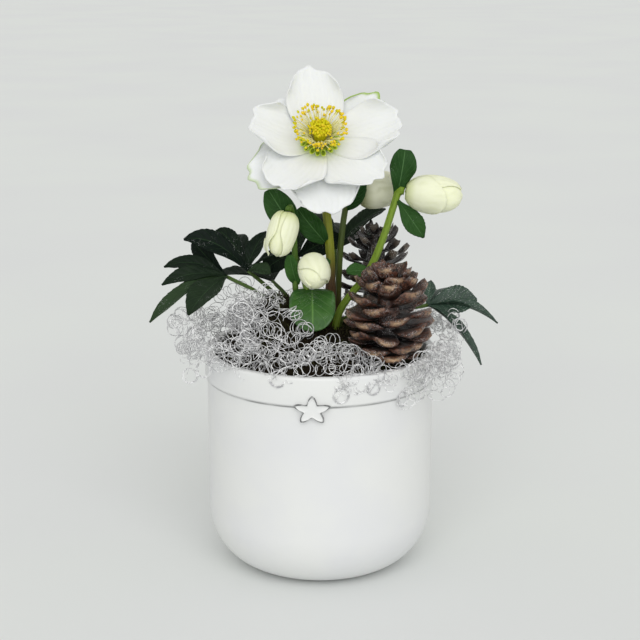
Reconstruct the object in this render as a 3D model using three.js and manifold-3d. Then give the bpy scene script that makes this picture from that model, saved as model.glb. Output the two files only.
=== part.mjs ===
// A potted Christmas rose: a round white ceramic pot with a raised collar and star, filled with soil and
// moss, that holds one open hellebore bloom, four buds, six fingered leaves, two pine cones and curled
// silver wire. Millimetres, +Z up, +X right, the pot's front towards -Y, origin at the centre of its foot.
import * as THREE from "three";
import { mergeVertices } from "three/addons/utils/BufferGeometryUtils.js";
import Module from "manifold-3d";

const wasm = await Module();
wasm.setup();

// ---- driving dimensions ----
const POT_RADIUS = 65; // of the straight wall
const POT_HEIGHT = 128;
const FOOT_RADIUS = 36; // of the flat foot that the pot stands on
const SHOULDER_HEIGHT = 34; // where the rounded bottom meets the straight wall
const WALL = 3.5;
const FLOOR = 5;
const COLLAR_PROUD = 1.3; // how far the collar stands out from the wall
const COLLAR_HEIGHT = 16;
const LIP_EDGE = 1.5; // chamfer round the outside of the rim
const POT_SIDES = 32;
const STAR_RADIUS = 8.8; // from the star's middle to its top point
const STAR_STRETCH = 1.25; // how much wider it is than a regular one
const STAR_NOTCH = 0.48; // its inner corners, as a share of the radius
const STAR_PROUD = 2.4; // of the pot's wall
const STAR_HEIGHT = 110; // of the star's middle above the foot
const STAR_OFFSET = -4.2; // of the star's middle, sideways
const GAP = 0.4; // between neighbours that touch
const SOIL_TOP = 117;
const ROOT_DEPTH = 106; // height of the stems' lower ends, in the soil
const MOSS_EDGE = 121; // height of the moss at the rim
const MOSS_DOME = 18; // how much higher its middle is
const MOSS_TUFT = 1.3; // how much its tufts rise above that
const MOSS_HEAP = { x: -27, y: -8, height: 24, radius: 20 }; // a heap of moss on the left
const BLADE = 0.8; // thickness of leaves and bracts
const PETAL = 0.9; // thickness of sepals
const STALK_RADIUS = 1.5; // of the leaf stalks
const STALK_STEPS = 7; // that a stalk and the hole for it are made in
const WIRE_RADIUS = 0.45;
const CURL_RADIUS = 5; // of one curl of wire

const FINEST = 0.002; // edges shorter than this are closed up

const INNER_RADIUS = POT_RADIUS - WALL;
const COLLAR_RADIUS = POT_RADIUS + COLLAR_PROUD;
const FILL_RADIUS = INNER_RADIUS - GAP - 0.5; // of the soil and moss
const UP = new THREE.Vector3(0, 0, 1);
const vec = (x, y, z) => new THREE.Vector3(x, y, z);
const radians = THREE.MathUtils.degToRad;

// ---- shapes ----

/** A closed geometry as a solid that can be joined and cut. */
function solidOf(geometry) {
  const bare = new THREE.BufferGeometry().setAttribute("position", geometry.getAttribute("position"));
  bare.setIndex(geometry.index);
  const merged = mergeVertices(bare, 1e-4);
  const mesh = new wasm.Mesh({
    numProp: 3,
    vertProperties: new Float32Array(merged.attributes.position.array),
    triVerts: new Uint32Array(merged.index.array),
  });
  return new wasm.Manifold(mesh);
}

/** Several closed geometries as one solid. */
const join = (geometries) => geometries.map(solidOf).reduce((whole, piece) => whole.add(piece));

/** The geometry of a solid. */
function geometryOf(solid) {
  const mesh = solid.simplify(FINEST).getMesh();
  const geometry = new THREE.BufferGeometry();
  geometry.setAttribute("position", new THREE.BufferAttribute(new Float32Array(mesh.vertProperties), 3));
  geometry.setIndex(new THREE.BufferAttribute(new Uint32Array(mesh.triVerts), 1));
  geometry.computeVertexNormals();
  return geometry;
}

/** A closed profile of [radius, height] pairs, turned about the upright axis. */
function lathe(profile, sides) {
  const points = profile.map(([r, z]) => new THREE.Vector2(r, z));
  return new THREE.LatheGeometry(points, sides).rotateX(Math.PI / 2);
}

/** A smooth curve through [x, y, z] points. */
const through = (points) => new THREE.CatmullRomCurve3(points.map((p) => vec(...p)), false, "centripetal");

/** A bar of even thickness along a curve. */
function bar(extrudePath, steps, sides, radius) {
  const corners = Array.from({ length: sides }, (_, i) => {
    const turn = (2 * Math.PI * i) / sides;
    return new THREE.Vector2(radius * Math.cos(turn), radius * Math.sin(turn));
  });
  return new THREE.ExtrudeGeometry(new THREE.Shape(corners), { steps, extrudePath });
}

/**
 * A closed slab between two surfaces over (s, t), where s runs 0 to 1 across it and t runs 0 to 1 along it.
 * surface(1, s, t) is its upper face and surface(-1, s, t) its lower one, both split into the same triangles.
 */
function slab(columns, rows, surface) {
  const positions = [];
  const index = [];
  for (const face of [1, -1])
    for (let j = 0; j <= rows; j++)
      for (let i = 0; i <= columns; i++) positions.push(...surface(face, i / columns, j / rows).toArray());
  const upper = (i, j) => j * (columns + 1) + i;
  const lower = (i, j) => upper(i, j) + (columns + 1) * (rows + 1);
  const quad = (a, b, c, d) => index.push(a, b, c, a, c, d);
  for (let j = 0; j < rows; j++)
    for (let i = 0; i < columns; i++) {
      quad(upper(i, j), upper(i + 1, j), upper(i + 1, j + 1), upper(i, j + 1));
      index.push(lower(i, j), lower(i + 1, j + 1), lower(i + 1, j));
      index.push(lower(i, j), lower(i, j + 1), lower(i + 1, j + 1));
    }
  for (let j = 0; j < rows; j++) {
    quad(upper(0, j), upper(0, j + 1), lower(0, j + 1), lower(0, j));
    quad(upper(columns, j), lower(columns, j), lower(columns, j + 1), upper(columns, j + 1));
  }
  for (let i = 0; i < columns; i++) {
    quad(upper(i, 0), lower(i, 0), lower(i + 1, 0), upper(i + 1, 0));
    quad(upper(i, rows), upper(i + 1, rows), lower(i + 1, rows), lower(i, rows));
  }
  const geometry = new THREE.BufferGeometry();
  geometry.setAttribute("position", new THREE.Float32BufferAttribute(positions, 3));
  return geometry.setIndex(index);
}

/** A seeded draw of numbers from 0 to 1. */
function draw(seed) {
  let state = seed;
  return () => {
    state = (state * 16807) % 2147483647;
    return state / 2147483647;
  };
}

// ---- the pot ----

/** A quarter of an ellipse from a flat bottom, at [inner, low], up to an upright wall, at [outer, high]. */
function roundedBottom(inner, outer, low, high, steps) {
  return Array.from({ length: steps + 1 }, (_, i) => {
    const turn = (Math.PI * i) / (2 * steps);
    return [inner + (outer - inner) * Math.sin(turn), high - (high - low) * Math.cos(turn)];
  });
}

function makePot() {
  const collarLow = POT_HEIGHT - COLLAR_HEIGHT;
  const body = lathe(
    [
      [0, 0],
      ...roundedBottom(FOOT_RADIUS, POT_RADIUS, 0, SHOULDER_HEIGHT, 4),
      [POT_RADIUS, collarLow - COLLAR_PROUD],
      [COLLAR_RADIUS, collarLow],
      [COLLAR_RADIUS, POT_HEIGHT - LIP_EDGE],
      [COLLAR_RADIUS - LIP_EDGE, POT_HEIGHT],
      [INNER_RADIUS, POT_HEIGHT],
      ...roundedBottom(FOOT_RADIUS - WALL, INNER_RADIUS, FLOOR, SHOULDER_HEIGHT, 3).reverse(),
      [0, FLOOR],
    ],
    POT_SIDES,
  );
  const corners = Array.from({ length: 10 }, (_, i) => {
    const turn = Math.PI / 2 + (i * Math.PI) / 5;
    const r = i % 2 ? STAR_RADIUS * STAR_NOTCH : STAR_RADIUS;
    return new THREE.Vector2(STAR_STRETCH * r * Math.cos(turn), r * Math.sin(turn));
  });
  const depth = STAR_PROUD + 0.9 * WALL;
  const star = new THREE.ExtrudeGeometry(new THREE.Shape(corners), { depth, bevelEnabled: false });
  star.rotateX(Math.PI / 2).translate(STAR_OFFSET, -POT_RADIUS - STAR_PROUD + depth, STAR_HEIGHT);
  return join([body, star]);
}

// ---- leaves ----

/** The share of its full width that a leaflet has at t: a long wedge, toothed past its middle. */
function leafletWidth(t) {
  const toothed = t > 0.4 && Math.round(t * LEAFLET_ROWS) % 2;
  return Math.sin(Math.PI * (0.04 + 0.94 * t ** 1.4)) * (toothed ? 0.88 : 1.04);
}
const LEAFLET_ROWS = 6;

/** The share of its full width that a bract has at t: a plain oval. */
const bractWidth = (t) => Math.sin(Math.PI * (0.05 + 0.9 * t)) ** 0.65;
/** The same for one that is widest towards its tip, and for one that is round with broad ends. */
const broadWidth = (t) => Math.sin(Math.PI * (0.05 + 0.87 * t ** 1.6)) ** 0.6;
const roundWidth = (t) => (1 - Math.abs(2 * t - 1) ** 3.5) ** 0.38;
const BRACT_ROWS = 4;

/**
 * A blade from its base to its tip, as [x, y, z], of a full width. Its upper face looks towards lift, it arches
 * by arch towards bow, and its halves rise from the midrib by fold, in degrees. A bract is a plain oval one.
 */
function blade({ base, tip, width, arch = 0, lift = [0, 0, 1], bow = lift, fold = 18, oval = false, share }) {
  const [from, to, raise] = [vec(...base), vec(...tip), vec(...lift).normalize()];
  const top = from.clone().lerp(to, 0.5).addScaledVector(vec(...bow).normalize(), 2 * arch);
  const widthAt = share ?? (oval ? bractWidth : leafletWidth);
  const spine = new THREE.QuadraticBezierCurve3(from, top, to);
  return slab(2, oval ? BRACT_ROWS : LEAFLET_ROWS, (face, s, t) => {
    const along = spine.getTangent(t);
    const sideways = along.clone().cross(raise).normalize();
    const normal = sideways.clone().cross(along);
    const half = (2 * s - 1) * Math.max(0.5, (widthAt(t) * width) / 2);
    const point = spine.getPoint(t).addScaledVector(sideways, half * Math.cos(radians(fold)));
    return point.addScaledVector(normal, Math.abs(half) * Math.sin(radians(fold)) + (face * BLADE) / 2);
  });
}

// Each leaf: where its stalk leaves the soil, the stalk's way up to the palm, and its leaflets from there,
// each with its tip, full width, arch and, unless upwards, the ways that its face looks and that it arches.
const UPWARDS = [0, 0, 1];
const LEAVES = {
  leaf_left_low: {
    root: [-13, -5],
    stalk: [[-16, -6, 146], [-34, -6, 160], [-53, -2, 169]],
    leaflets: [
      [[-89, -12, 166.5], 14, 4, [0, -0.6, 0.8], UPWARDS],
      [[-89, 3, 173.5], 12, 5, [0, -0.7, 0.7], UPWARDS],
      [[-73, 12, 187], 15, 3, [-0.5, -0.7, 0.5], [-0.8, 0, 0.6]],
      [[-72, -39, 156], 22, 3, [-0.1, -0.5, 0.85], UPWARDS],
      [[-94, -32, 150], 15, 6, [0, -0.2, 1], UPWARDS],
    ],
  },
  leaf_left_high: {
    root: [-13, 4],
    stalk: [[-17, 3, 148], [-29, 2, 161], [-41, 0, 172]],
    leaflets: [
      [[-77, -2, 189], 14, 9, [-0.2, -0.85, 0.45], UPWARDS],
      [[-60, 16, 192], 15, 5, [0, -0.8, 0.6], UPWARDS],
      [[-31, 11, 192.5], 15, 3, [-0.5, -0.8, 0.3]],
      [[-28, -9, 172], 10, 2, [0, -0.6, 0.8], UPWARDS],
      [[-50, 32, 186], 15, 5],
    ],
  },
  leaf_right: {
    root: [11, 1],
    stalk: [[12.5, -1, 143], [30, -2, 147], [47, 1, 149], [62, 7, 150]],
    leaflets: [
      [[90.5, 6, 153.5], 19, 2, [0, -0.75, 0.65], UPWARDS],
      [[102, 0, 141], 9, 5, [0, -0.2, 1], UPWARDS],
      [[91, -20, 122], 10, 5, [0.3, -0.2, 1], UPWARDS],
      [[65, 22, 161], 9, 1, [0, -0.7, 0.7]],
      [[72, 40, 150], 14, 4],
    ],
  },
  leaf_back_right: {
    root: [6, 14],
    stalk: [[7, 18, 150], [8, 24, 164], [9, 30, 178]],
    leaflets: [
      [[39, 47, 199], 13, 4, [0, -0.3, 1], UPWARDS],
      [[46, 62, 176], 15, 5],
      [[16, 70, 184], 15, 5],
      [[-5, 58, 194], 13, 4],
    ],
  },
  leaf_back: {
    root: [-5, 13],
    stalk: [[-7, 14, 150], [-10, 15, 164], [-13, 16, 177]],
    leaflets: [
      [[11, 17, 190], 15, 2, [0, -1, 0.3]],
      [[-33, 12, 168], 15, 3, [0, -0.8, 0.6], UPWARDS],
      [[-26, 46, 190], 14, 4],
      [[-10, 44, 196], 12, 3],
    ],
  },
  leaf_back_left: {
    root: [-9, 9],
    stalk: [[-12, 12, 142], [-20, 20, 153], [-28, 29, 159]],
    leaflets: [
      [[-70, 36, 158], 15, 4],
      [[-56, 62, 156], 15, 5],
      [[-24, 70, 158], 15, 5],
    ],
  },
};

/** The way of a stem or stalk: upright in the soil, then along its own points. */
const stemPath = (root, points) => through([[...root, ROOT_DEPTH], [...root, SOIL_TOP + 4], ...points]);

function makeLeaf({ root, stalk, leaflets }) {
  const base = stalk.at(-1);
  // each leaflet starts a little further back in the palm, so that no two start in one point
  const blades = leaflets.map(([tip, width, arch, lift, bow], i) => {
    const start = vec(...base).lerp(vec(...tip), -0.007 * (i + 1)).toArray();
    return blade({ base: start, tip, width, arch, lift, bow });
  });
  return join([bar(stemPath(root, stalk), STALK_STEPS, 5, STALK_RADIUS), ...blades]);
}

// ---- the open bloom, which faces along its own +Z ----
const BLOOM_MIDDLE = vec(0, 4, 244);
const BLOOM_TILT = 46; // how far its face looks up, in degrees
const SEAT_RADIUS = 8.2; // of the flat middle that carries its stamens
const SEAT_TOP = 1.3;
const CUP_BACK = -3.2; // of the receptacle that the stem meets
const NECTARIES = 10;
const STAMENS = 21;
const bloomAxis = vec(0, -Math.cos(radians(BLOOM_TILT)), Math.sin(radians(BLOOM_TILT)));

// Each sepal: its direction clockwise from the top, its length and full width, how far it cups and leans, in
// degrees, and how far below the front ones it grows.
const SEPALS = [
  [-7, 45.5, 33, 18, 5, 0],
  [-79, 41, 34, 18, 5, 0],
  [82, 47, 35, 16, 5, 0],
  [-143, 42, 37, 8, 5, 0],
  [132, 43, 38, 8, 5, 0],
  [174, 44, 42, -4, 0, 2.4],
  [-42, 38, 28, 8, 0, 2.4],
  [50, 43.5, 25, 10, -6, 2.8],
  [-121, 44, 36, 0, 0, 2.7],
];

/** The share of its full width that a sepal has at t: broad and blunt, on a short claw. */
function sepalWidth(t) {
  const claw = Math.sin((Math.PI / 2) * Math.min(1, (t + 0.1) / 0.76)) ** 0.9;
  return claw * (1 - 0.2 * Math.max(0, (t - 0.66) / 0.34) ** 2);
}

function makeSepal([direction, length, width, cup, lean, drop]) {
  const out = vec(Math.sin(radians(direction)), Math.cos(radians(direction)), 0);
  const side = vec(out.y, -out.x, 0).applyAxisAngle(out, radians(lean));
  const [reach, climb] = [length * Math.cos(radians(cup)), length * Math.sin(radians(cup))];
  return slab(4, 4, (face, s, t) => {
    const across = 2 * s - 1;
    const half = (sepalWidth(t) * width) / 2;
    const hollow = 0.16 * half * t * across * across;
    const blunt = 1 - 0.3 * Math.abs(across) ** 3.4 * t;
    const z = climb * t * t - drop + hollow + (face * PETAL) / 2;
    return out.clone().multiplyScalar(1 + (reach - 1) * t * blunt).setZ(z).addScaledVector(side, across * half);
  });
}

/** The sepals on their receptacle, with a flat seat cut round the middle. */
function makeSepals() {
  const cup = new THREE.CylinderGeometry(SEAT_RADIUS - 1, 3.2, SEAT_TOP - CUP_BACK + 1, 14).rotateX(Math.PI / 2);
  cup.rotateZ(0.1).translate(0, 0, (SEAT_TOP + CUP_BACK + 1) / 2);
  const room = new THREE.CylinderGeometry(SEAT_RADIUS, SEAT_RADIUS, 8, 14).rotateX(Math.PI / 2);
  room.translate(0, 0, SEAT_TOP + 4);
  return join([cup, ...SEPALS.map(makeSepal)]).subtract(solidOf(room));
}

/** A ring of small green horns round the stamens, on the band that they grow from. */
function makeNectaries() {
  const low = SEAT_TOP + GAP;
  const band = lathe([[5.2, low], [7.6, low], [7.6, low + 1.2], [5.2, low + 1.2], [5.2, low]], 10);
  const horns = Array.from({ length: NECTARIES }, (_, i) => {
    const horn = new THREE.CylinderGeometry(1.6, 0.9, 4.4, 4).rotateX(Math.PI / 2).rotateY(0.35);
    return horn.translate(7.4, 0, low + 2.6).rotateZ((2 * Math.PI * i) / NECTARIES);
  });
  return join([band, ...horns]);
}

/** A spread of stamens on their boss, each a fine stalk with its anther at the end. */
function makeStamens() {
  const random = draw(7);
  const low = SEAT_TOP + GAP;
  const pieces = [new THREE.CylinderGeometry(3, 4.5, 4, 8).rotateX(Math.PI / 2).translate(0, 0, low + 2)];
  for (let i = 0; i < STAMENS; i++) {
    const turn = radians(137.5 * i);
    const [reach, height] = i % 3 ? [12.5 + 2.5 * random(), 11 + 3 * random()] : [4 + 3 * random(), 14];
    const at = (r, z) => vec(r * Math.cos(turn), r * Math.sin(turn), z);
    const path = new THREE.QuadraticBezierCurve3(at(2, low + 2), at(0.45 * reach + 1, 9), at(reach, height));
    pieces.push(bar(path, 2, 3, 0.45));
    pieces.push(new THREE.TetrahedronGeometry(1.7).translate(...at(reach, height).toArray()));
  }
  return join(pieces);
}

// ---- buds, each along its own +Z from where it meets its stem ----
const BUDS = {
  bud_left: { base: [-17.8, -12, 208.4], tip: [-24.5, -20.5, 185], thick: 17.5 },
  bud_center: { base: [-5, -12, 180.6], tip: [-1.5, -32, 172], thick: 20 },
  bud_right: { base: [47.5, -1, 218], tip: [79.5, -6, 215], thick: 22, fullness: 1 },
  bud_back: { base: [20.6, 18.4, 213.6], tip: [47, 22, 218], thick: 22 },
};
const BUD_SKIN = 0.9; // how far its outer sepals stand proud

/** The radius of a bud at t along it, as a share of its widest one: an egg, fuller near its base below 1. */
const budShare = (t, fullness) => Math.sqrt(Math.max(0, 1 - Math.abs(2 * t ** fullness - 1) ** 2.3));

/** Two wrapped outer sepals on a closed egg of inner ones. */
function makeBud({ base, tip, thick, fullness = 0.86 }) {
  const length = vec(...base).distanceTo(vec(...tip));
  const widest = thick / 2 - BUD_SKIN;
  const rings = [0, 0.1, 0.3, 0.6, 0.85, 1];
  const egg = lathe(rings.map((t) => [t % 1 ? widest * budShare(t, fullness) : 0, length * t]), 8);
  const wraps = [0, 1].map((k) =>
    slab(3, 3, (face, s, t) => {
      const along = 0.08 + (0.84 - 0.14 * k) * t;
      const turn = Math.PI * k + 0.5 + (2 * s - 1) * 1.35 * Math.sin(Math.PI * (0.25 + 0.6 * t)) ** 0.5;
      const r = Math.max(0.7, widest * budShare(along, fullness) + (face > 0 ? BUD_SKIN : -2));
      return vec(r * Math.cos(turn), r * Math.sin(turn), along * length);
    }),
  );
  return join([egg, ...wraps]);
}

// ---- flower stems with their bracts ----

/** The last two points of a stem, which ends a gap short of its flower's base and faces along the flower. */
const neck = (base, along) => [3, GAP].map((short) => base.clone().addScaledVector(along, -short).toArray());
const bloomNeck = neck(BLOOM_MIDDLE.clone().addScaledVector(bloomAxis, CUP_BACK), bloomAxis);
const budNeck = ({ base, tip }) => neck(vec(...base), vec(...tip).sub(vec(...base)).normalize());

const FACING = [0.1, -1, 0.15]; // the way that the bracts beside the right bud look

// Each stem: where it leaves the soil, its radius, its way up, and its bracts.
const STEMS = {
  stem_bloom: {
    root: [3, 5],
    radius: 2.7,
    path: [[6, 2, 158], [6, 3, 179], [3.7, 6, 206], [1, 10.5, 228], ...bloomNeck],
    bracts: [{ base: [3, 3, 188], tip: [-12.5, -1, 208], width: 14, arch: 2, lift: [-0.3, -0.9, 0.3] }],
  },
  stem_bud_back: {
    root: [10, 10],
    radius: 1.9,
    path: [[10.5, 9, 150], [11.2, 8, 175], [13, 10, 195], [15.6, 14.5, 209.5], ...budNeck(BUDS.bud_back)],
    bracts: [{ base: [15, 12.2, 206], tip: [25, 6, 222], width: 12, arch: 1, lift: [-0.2, -1, 0.2] }],
  },
  stem_bud_right: {
    root: [7.5, -3.5],
    radius: 2.2,
    path: [[11, -3, 148], [27.5, -2, 172], [36.4, -1, 193], [42.6, 0, 213], ...budNeck(BUDS.bud_right)],
    bracts: [
      { base: [41.5, 0.5, 213], tip: [44.5, 1, 242], width: 15, arch: 2, lift: FACING, share: broadWidth },
      { base: [42, -1, 212], tip: [58, -4, 193], width: 12, arch: 1, lift: FACING, share: broadWidth },
      { base: [28, -3, 172], tip: [15, -8, 173], width: 10, arch: 1, lift: [0, -0.6, 0.8] },
    ],
  },
  stem_bud_left: {
    root: [-5, -5],
    radius: 1.8,
    path: [[-9, -6, 148], [-13.3, -8, 160], [-14.3, -6, 187], [-15.2, -4.8, 203.5], ...budNeck(BUDS.bud_left)],
    bracts: [
      { base: [-14.5, -5, 197], tip: [-29, -2, 219], width: 17, arch: 1, lift: [0, -1, 0] },
      { base: [-13, -8, 166], tip: [-17, -13, 184], width: 9, arch: 1, lift: [-0.2, -1, 0] },
    ],
  },
  stem_bud_center: {
    root: [0, -8],
    radius: 1.8,
    path: [[-3, -9, 148], [-7, -9, 160], [-8, -7, 173], ...budNeck(BUDS.bud_center)],
    bracts: [
      { base: [-4.5, -9, 163], tip: [-4, -33, 145], width: 26, arch: 3, fold: 8, share: roundWidth },
      { base: [-7, -7, 166], tip: [5, -6, 180], width: 8, arch: 1, lift: [0.3, -1, 0] },
    ],
  },
};

function makeStem({ root, radius, path, bracts }) {
  const blades = bracts.map((bract) => blade({ oval: true, fold: 14, ...bract }));
  return join([bar(stemPath(root, path), 11, 6, radius), ...blades]);
}

// ---- pine cones, each standing on its own +Z ----
const CONES = {
  pine_cone_front: { foot: [37.5, -33, 128], lean: 0, height: 62, width: 53, scales: 32 },
  pine_cone_back: { foot: [33, 25, 132.5], lean: 4, height: 72, width: 43, scales: 22 },
};
const GOLDEN_ANGLE = radians(137.508);

/** How far scale tips stand from a cone's axis at u from foot to top, as a share of its half width. */
const coneShare = (u) => (0.5 + 0.5 * Math.sin(Math.PI * (0.1 + 0.75 * u))) * (1 - 0.5 * u ** 3);

/** A core with thick-tipped scales wound round it, drooping low down and rising towards the top. */
function makeCone({ height, width, scales }) {
  const core = lathe([[0, 0], [7, 1], [8, 0.4 * height], [3, 0.82 * height], [0, 0.86 * height]], 6);
  const wound = Array.from({ length: scales }, (_, k) => {
    const u = (k + 0.5) / scales;
    const rise = radians(-9 + 72 * u ** 1.6);
    const reach = (width / 2) * coneShare(u) - 3;
    const root = height * (0.07 + 0.71 * u);
    const half = 6.8 * (1 - 0.4 * u);
    const scale = slab(2, 1, (face, s, t) => {
      const across = 1 - 2 * s;
      const wide = half * (0.35 + 0.65 * Math.sin((Math.PI / 2) * Math.min(1, 1.5 * t)));
      const out = 3 + (reach * t - 1.2 * across * across * t) * Math.cos(0.6 * rise);
      return vec(out, wide * across, root + reach * t * Math.sin(rise) + face * (0.8 + 1.1 * t));
    });
    return scale.rotateZ(k * GOLDEN_ANGLE);
  });
  return join([core, ...wound]);
}

// ---- soil and moss, with plain holes for the stems and hollows for the cones ----

/** The hole round the lower part of a stem or stalk that is that many steps long. */
function stemHole(root, points, radius, steps) {
  const path = through([[...root, ROOT_DEPTH - 1], [...root, SOIL_TOP + 4], ...points]);
  return bar(path, steps, 5, radius * 1.3 + GAP);
}

function makeSoil(holes) {
  const low = FLOOR + GAP;
  const bottom = roundedBottom(FOOT_RADIUS - WALL, FILL_RADIUS, low, SHOULDER_HEIGHT + 2, 3);
  return solidOf(lathe([[0, low], ...bottom, [FILL_RADIUS, SOIL_TOP], [0, SOIL_TOP]], 20)).subtract(holes);
}

/** The height of the moss at (x, y): a dome raised by its tufts and by a heap on the left. */
function mossHeight(x, y) {
  const [r, turn] = [Math.hypot(x, y), Math.atan2(y, x)];
  const dome = MOSS_EDGE + MOSS_DOME * (1 - (r / INNER_RADIUS) ** 2.6);
  const tufts = MOSS_TUFT * Math.sin(5 * turn + r / 7) * Math.sin(3 * turn - r / 5) * Math.min(1, r / 20);
  const off = Math.hypot(x - MOSS_HEAP.x, y - MOSS_HEAP.y) / MOSS_HEAP.radius;
  const inside = 1 - THREE.MathUtils.smoothstep(r, 50, FILL_RADIUS);
  return dome + tufts + MOSS_HEAP.height * Math.exp(-(off ** 2)) * inside;
}

function makeMoss(hollows) {
  const rings = 5;
  const top = Array.from({ length: rings + 1 }, (_, i) => [FILL_RADIUS * (1 - i / rings), MOSS_EDGE]);
  const geometry = lathe([[0, SOIL_TOP + GAP], [FILL_RADIUS, SOIL_TOP + GAP], ...top], 20);
  const position = geometry.getAttribute("position");
  for (let i = 0; i < position.count; i++) {
    if (position.getZ(i) === MOSS_EDGE) position.setZ(i, mossHeight(position.getX(i), position.getY(i)));
  }
  return solidOf(geometry).subtract(hollows);
}

/** The hollow that a cone presses in the moss. */
function coneSeat({ foot, width }) {
  const wide = 0.5 * width + 1.5;
  return lathe([[0, -1], [0.7 * wide, -1], [wide, 5], [wide + 1, 26], [0, 26]], 8).translate(...foot);
}

// ---- curled wire ----
const CURL_STEPS = 5; // of one curl

// Each tuft: how many curls it has, and the way that they wind along. Where no height is given, they lie on
// the moss or on the rim, and where it is, they hang over the rim outside the pot.
const TUFTS = {
  wire_curls_left: { curls: 12, route: [[-10, -42], [-26, -40], [-42, -29], [-46, -14], [-30, -19]] },
  wire_curls_rim_left: {
    curls: 14,
    route: [[-40, -44], [-56, -50, 133], [-74, -32, 119], [-80, -8, 122], [-78, 12, 135], [-60, 26], [-48, 30]],
  },
  wire_curls_front: { curls: 6, route: [[-30, -51], [-14, -54], [2, -55]] },
  wire_curls_right: {
    curls: 12,
    route: [[11, -53], [19, -65, 135], [30, -71, 127], [46, -66, 115], [64, -50, 110], [78, -34, 116]],
  },
  wire_curls_back: { curls: 15, route: [[80, 8, 130], [68, 28, 135], [48, 36], [24, 54], [-6, 55], [-34, 45]] },
};

/** The height at which curls lie at (x, y), on the highest moss under them or on the rim. */
function restHeight(x, y) {
  const around = [[0, 0], [1, 0], [-1, 0], [0, 1], [0, -1]];
  const heights = around.map(([i, j]) => mossHeight(x + i * CURL_RADIUS, y + j * CURL_RADIUS));
  const under = Math.hypot(x, y) < INNER_RADIUS - CURL_RADIUS ? Math.max(...heights) : POT_HEIGHT;
  return under + MOSS_TUFT + CURL_RADIUS + WIRE_RADIUS + GAP;
}

function makeTuft({ curls, route }) {
  const middle = through(route.map(([x, y, z = restHeight(x, y)]) => [x, y, z]));
  const steps = curls * CURL_STEPS;
  const frames = middle.computeFrenetFrames(steps);
  const points = Array.from({ length: steps + 1 }, (_, i) => {
    const turn = (2 * Math.PI * i) / CURL_STEPS;
    const out = frames.normals[i].clone().multiplyScalar(CURL_RADIUS * Math.cos(turn));
    out.addScaledVector(frames.binormals[i], CURL_RADIUS * Math.sin(turn));
    return middle.getPointAt(i / steps).add(out).toArray();
  });
  return solidOf(bar(through(points), steps, 3, WIRE_RADIUS));
}

// ---- the whole ----
function look(color, roughness, metalness = 0) {
  return new THREE.MeshStandardMaterial({ color, roughness, metalness });
}
const ceramic = look(0xe4e4e2, 0.3);
const earth = look(0x2a2019, 0.95);
const moss = look(0x4c4a2a, 0.95);
const leaf = look(0x2b4030, 0.45);
const bract = look(0x3c6430, 0.5);
const white = look(0xf4f5ee, 0.6);
const ivory = look(0xeef0d4, 0.55);
const nectar = look(0x8fb414, 0.5);
const pollen = look(0xe0cc2c, 0.7);
const bark = look(0x4a3328, 0.7);
const silver = look(0xc8c8c8, 0.25, 1);

function named(name, solid, material) {
  const mesh = new THREE.Mesh(geometryOf(solid), material);
  mesh.name = name;
  return mesh;
}

const all = new THREE.Group();
const holes = join([
  ...Object.values(LEAVES).map(({ root, stalk }) => stemHole(root, stalk, STALK_RADIUS, STALK_STEPS)),
  ...Object.values(STEMS).map(({ root, path, radius }) => stemHole(root, path.slice(0, 2), radius, 6)),
]);
all.add(named("pot", makePot(), ceramic));
all.add(named("soil", makeSoil(holes), earth));
all.add(named("moss", makeMoss(holes.add(join(Object.values(CONES).map(coneSeat)))), moss));
for (const [name, facts] of Object.entries(LEAVES)) all.add(named(name, makeLeaf(facts), leaf));
for (const [name, facts] of Object.entries(STEMS)) all.add(named(name, makeStem(facts), bract));

const bloom = new THREE.Group();
bloom.add(named("bloom_sepals", makeSepals(), white));
bloom.add(named("bloom_nectaries", makeNectaries(), nectar));
bloom.add(named("bloom_stamens", makeStamens(), pollen));
bloom.position.copy(BLOOM_MIDDLE);
bloom.rotation.x = radians(90 - BLOOM_TILT);
all.add(bloom);

for (const [name, facts] of Object.entries(BUDS)) {
  const bud = named(name, makeBud(facts), ivory);
  bud.position.set(...facts.base);
  bud.quaternion.setFromUnitVectors(UP, vec(...facts.tip).sub(bud.position).normalize());
  all.add(bud);
}
for (const [name, facts] of Object.entries(CONES)) {
  const cone = named(name, makeCone(facts), bark);
  cone.position.set(...facts.foot);
  cone.rotation.x = radians(-facts.lean);
  all.add(cone);
}
for (const [name, facts] of Object.entries(TUFTS)) all.add(named(name, makeTuft(facts), silver));

export default all;
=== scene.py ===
"""A christmas rose with its buds, two pine cones and curls of silver wire in a white pot with a star.

Every sub-assembly is a class that keeps its sizes in millimetres, +Z up and the front towards -Y. A mesh is
brought to metres once, when it is finished.
"""

import logging
import random
from collections.abc import Callable, Sequence
from dataclasses import dataclass
from enum import Enum
from math import atan2, cos, exp, hypot, pi, radians, sin, sqrt

import bmesh
import bpy
from mathutils import Matrix, Vector, noise


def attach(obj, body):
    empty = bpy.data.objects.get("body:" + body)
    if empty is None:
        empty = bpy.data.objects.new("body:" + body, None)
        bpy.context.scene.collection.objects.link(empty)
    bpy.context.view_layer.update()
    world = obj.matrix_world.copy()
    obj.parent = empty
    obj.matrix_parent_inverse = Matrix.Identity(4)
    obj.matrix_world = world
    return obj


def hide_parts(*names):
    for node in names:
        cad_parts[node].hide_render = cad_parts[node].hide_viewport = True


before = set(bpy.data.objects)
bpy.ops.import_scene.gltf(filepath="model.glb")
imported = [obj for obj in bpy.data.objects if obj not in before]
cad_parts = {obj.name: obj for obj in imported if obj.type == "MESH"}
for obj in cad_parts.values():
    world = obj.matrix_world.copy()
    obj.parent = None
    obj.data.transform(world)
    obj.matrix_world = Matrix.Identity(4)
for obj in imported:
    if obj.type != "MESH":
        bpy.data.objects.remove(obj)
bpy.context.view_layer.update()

BODY = "root"
MM = 0.001
WHOLE_TURN = 2 * pi
QUARTER_TURN = pi / 2
GOLDEN_ANGLE = pi * (3 - sqrt(5))
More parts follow.
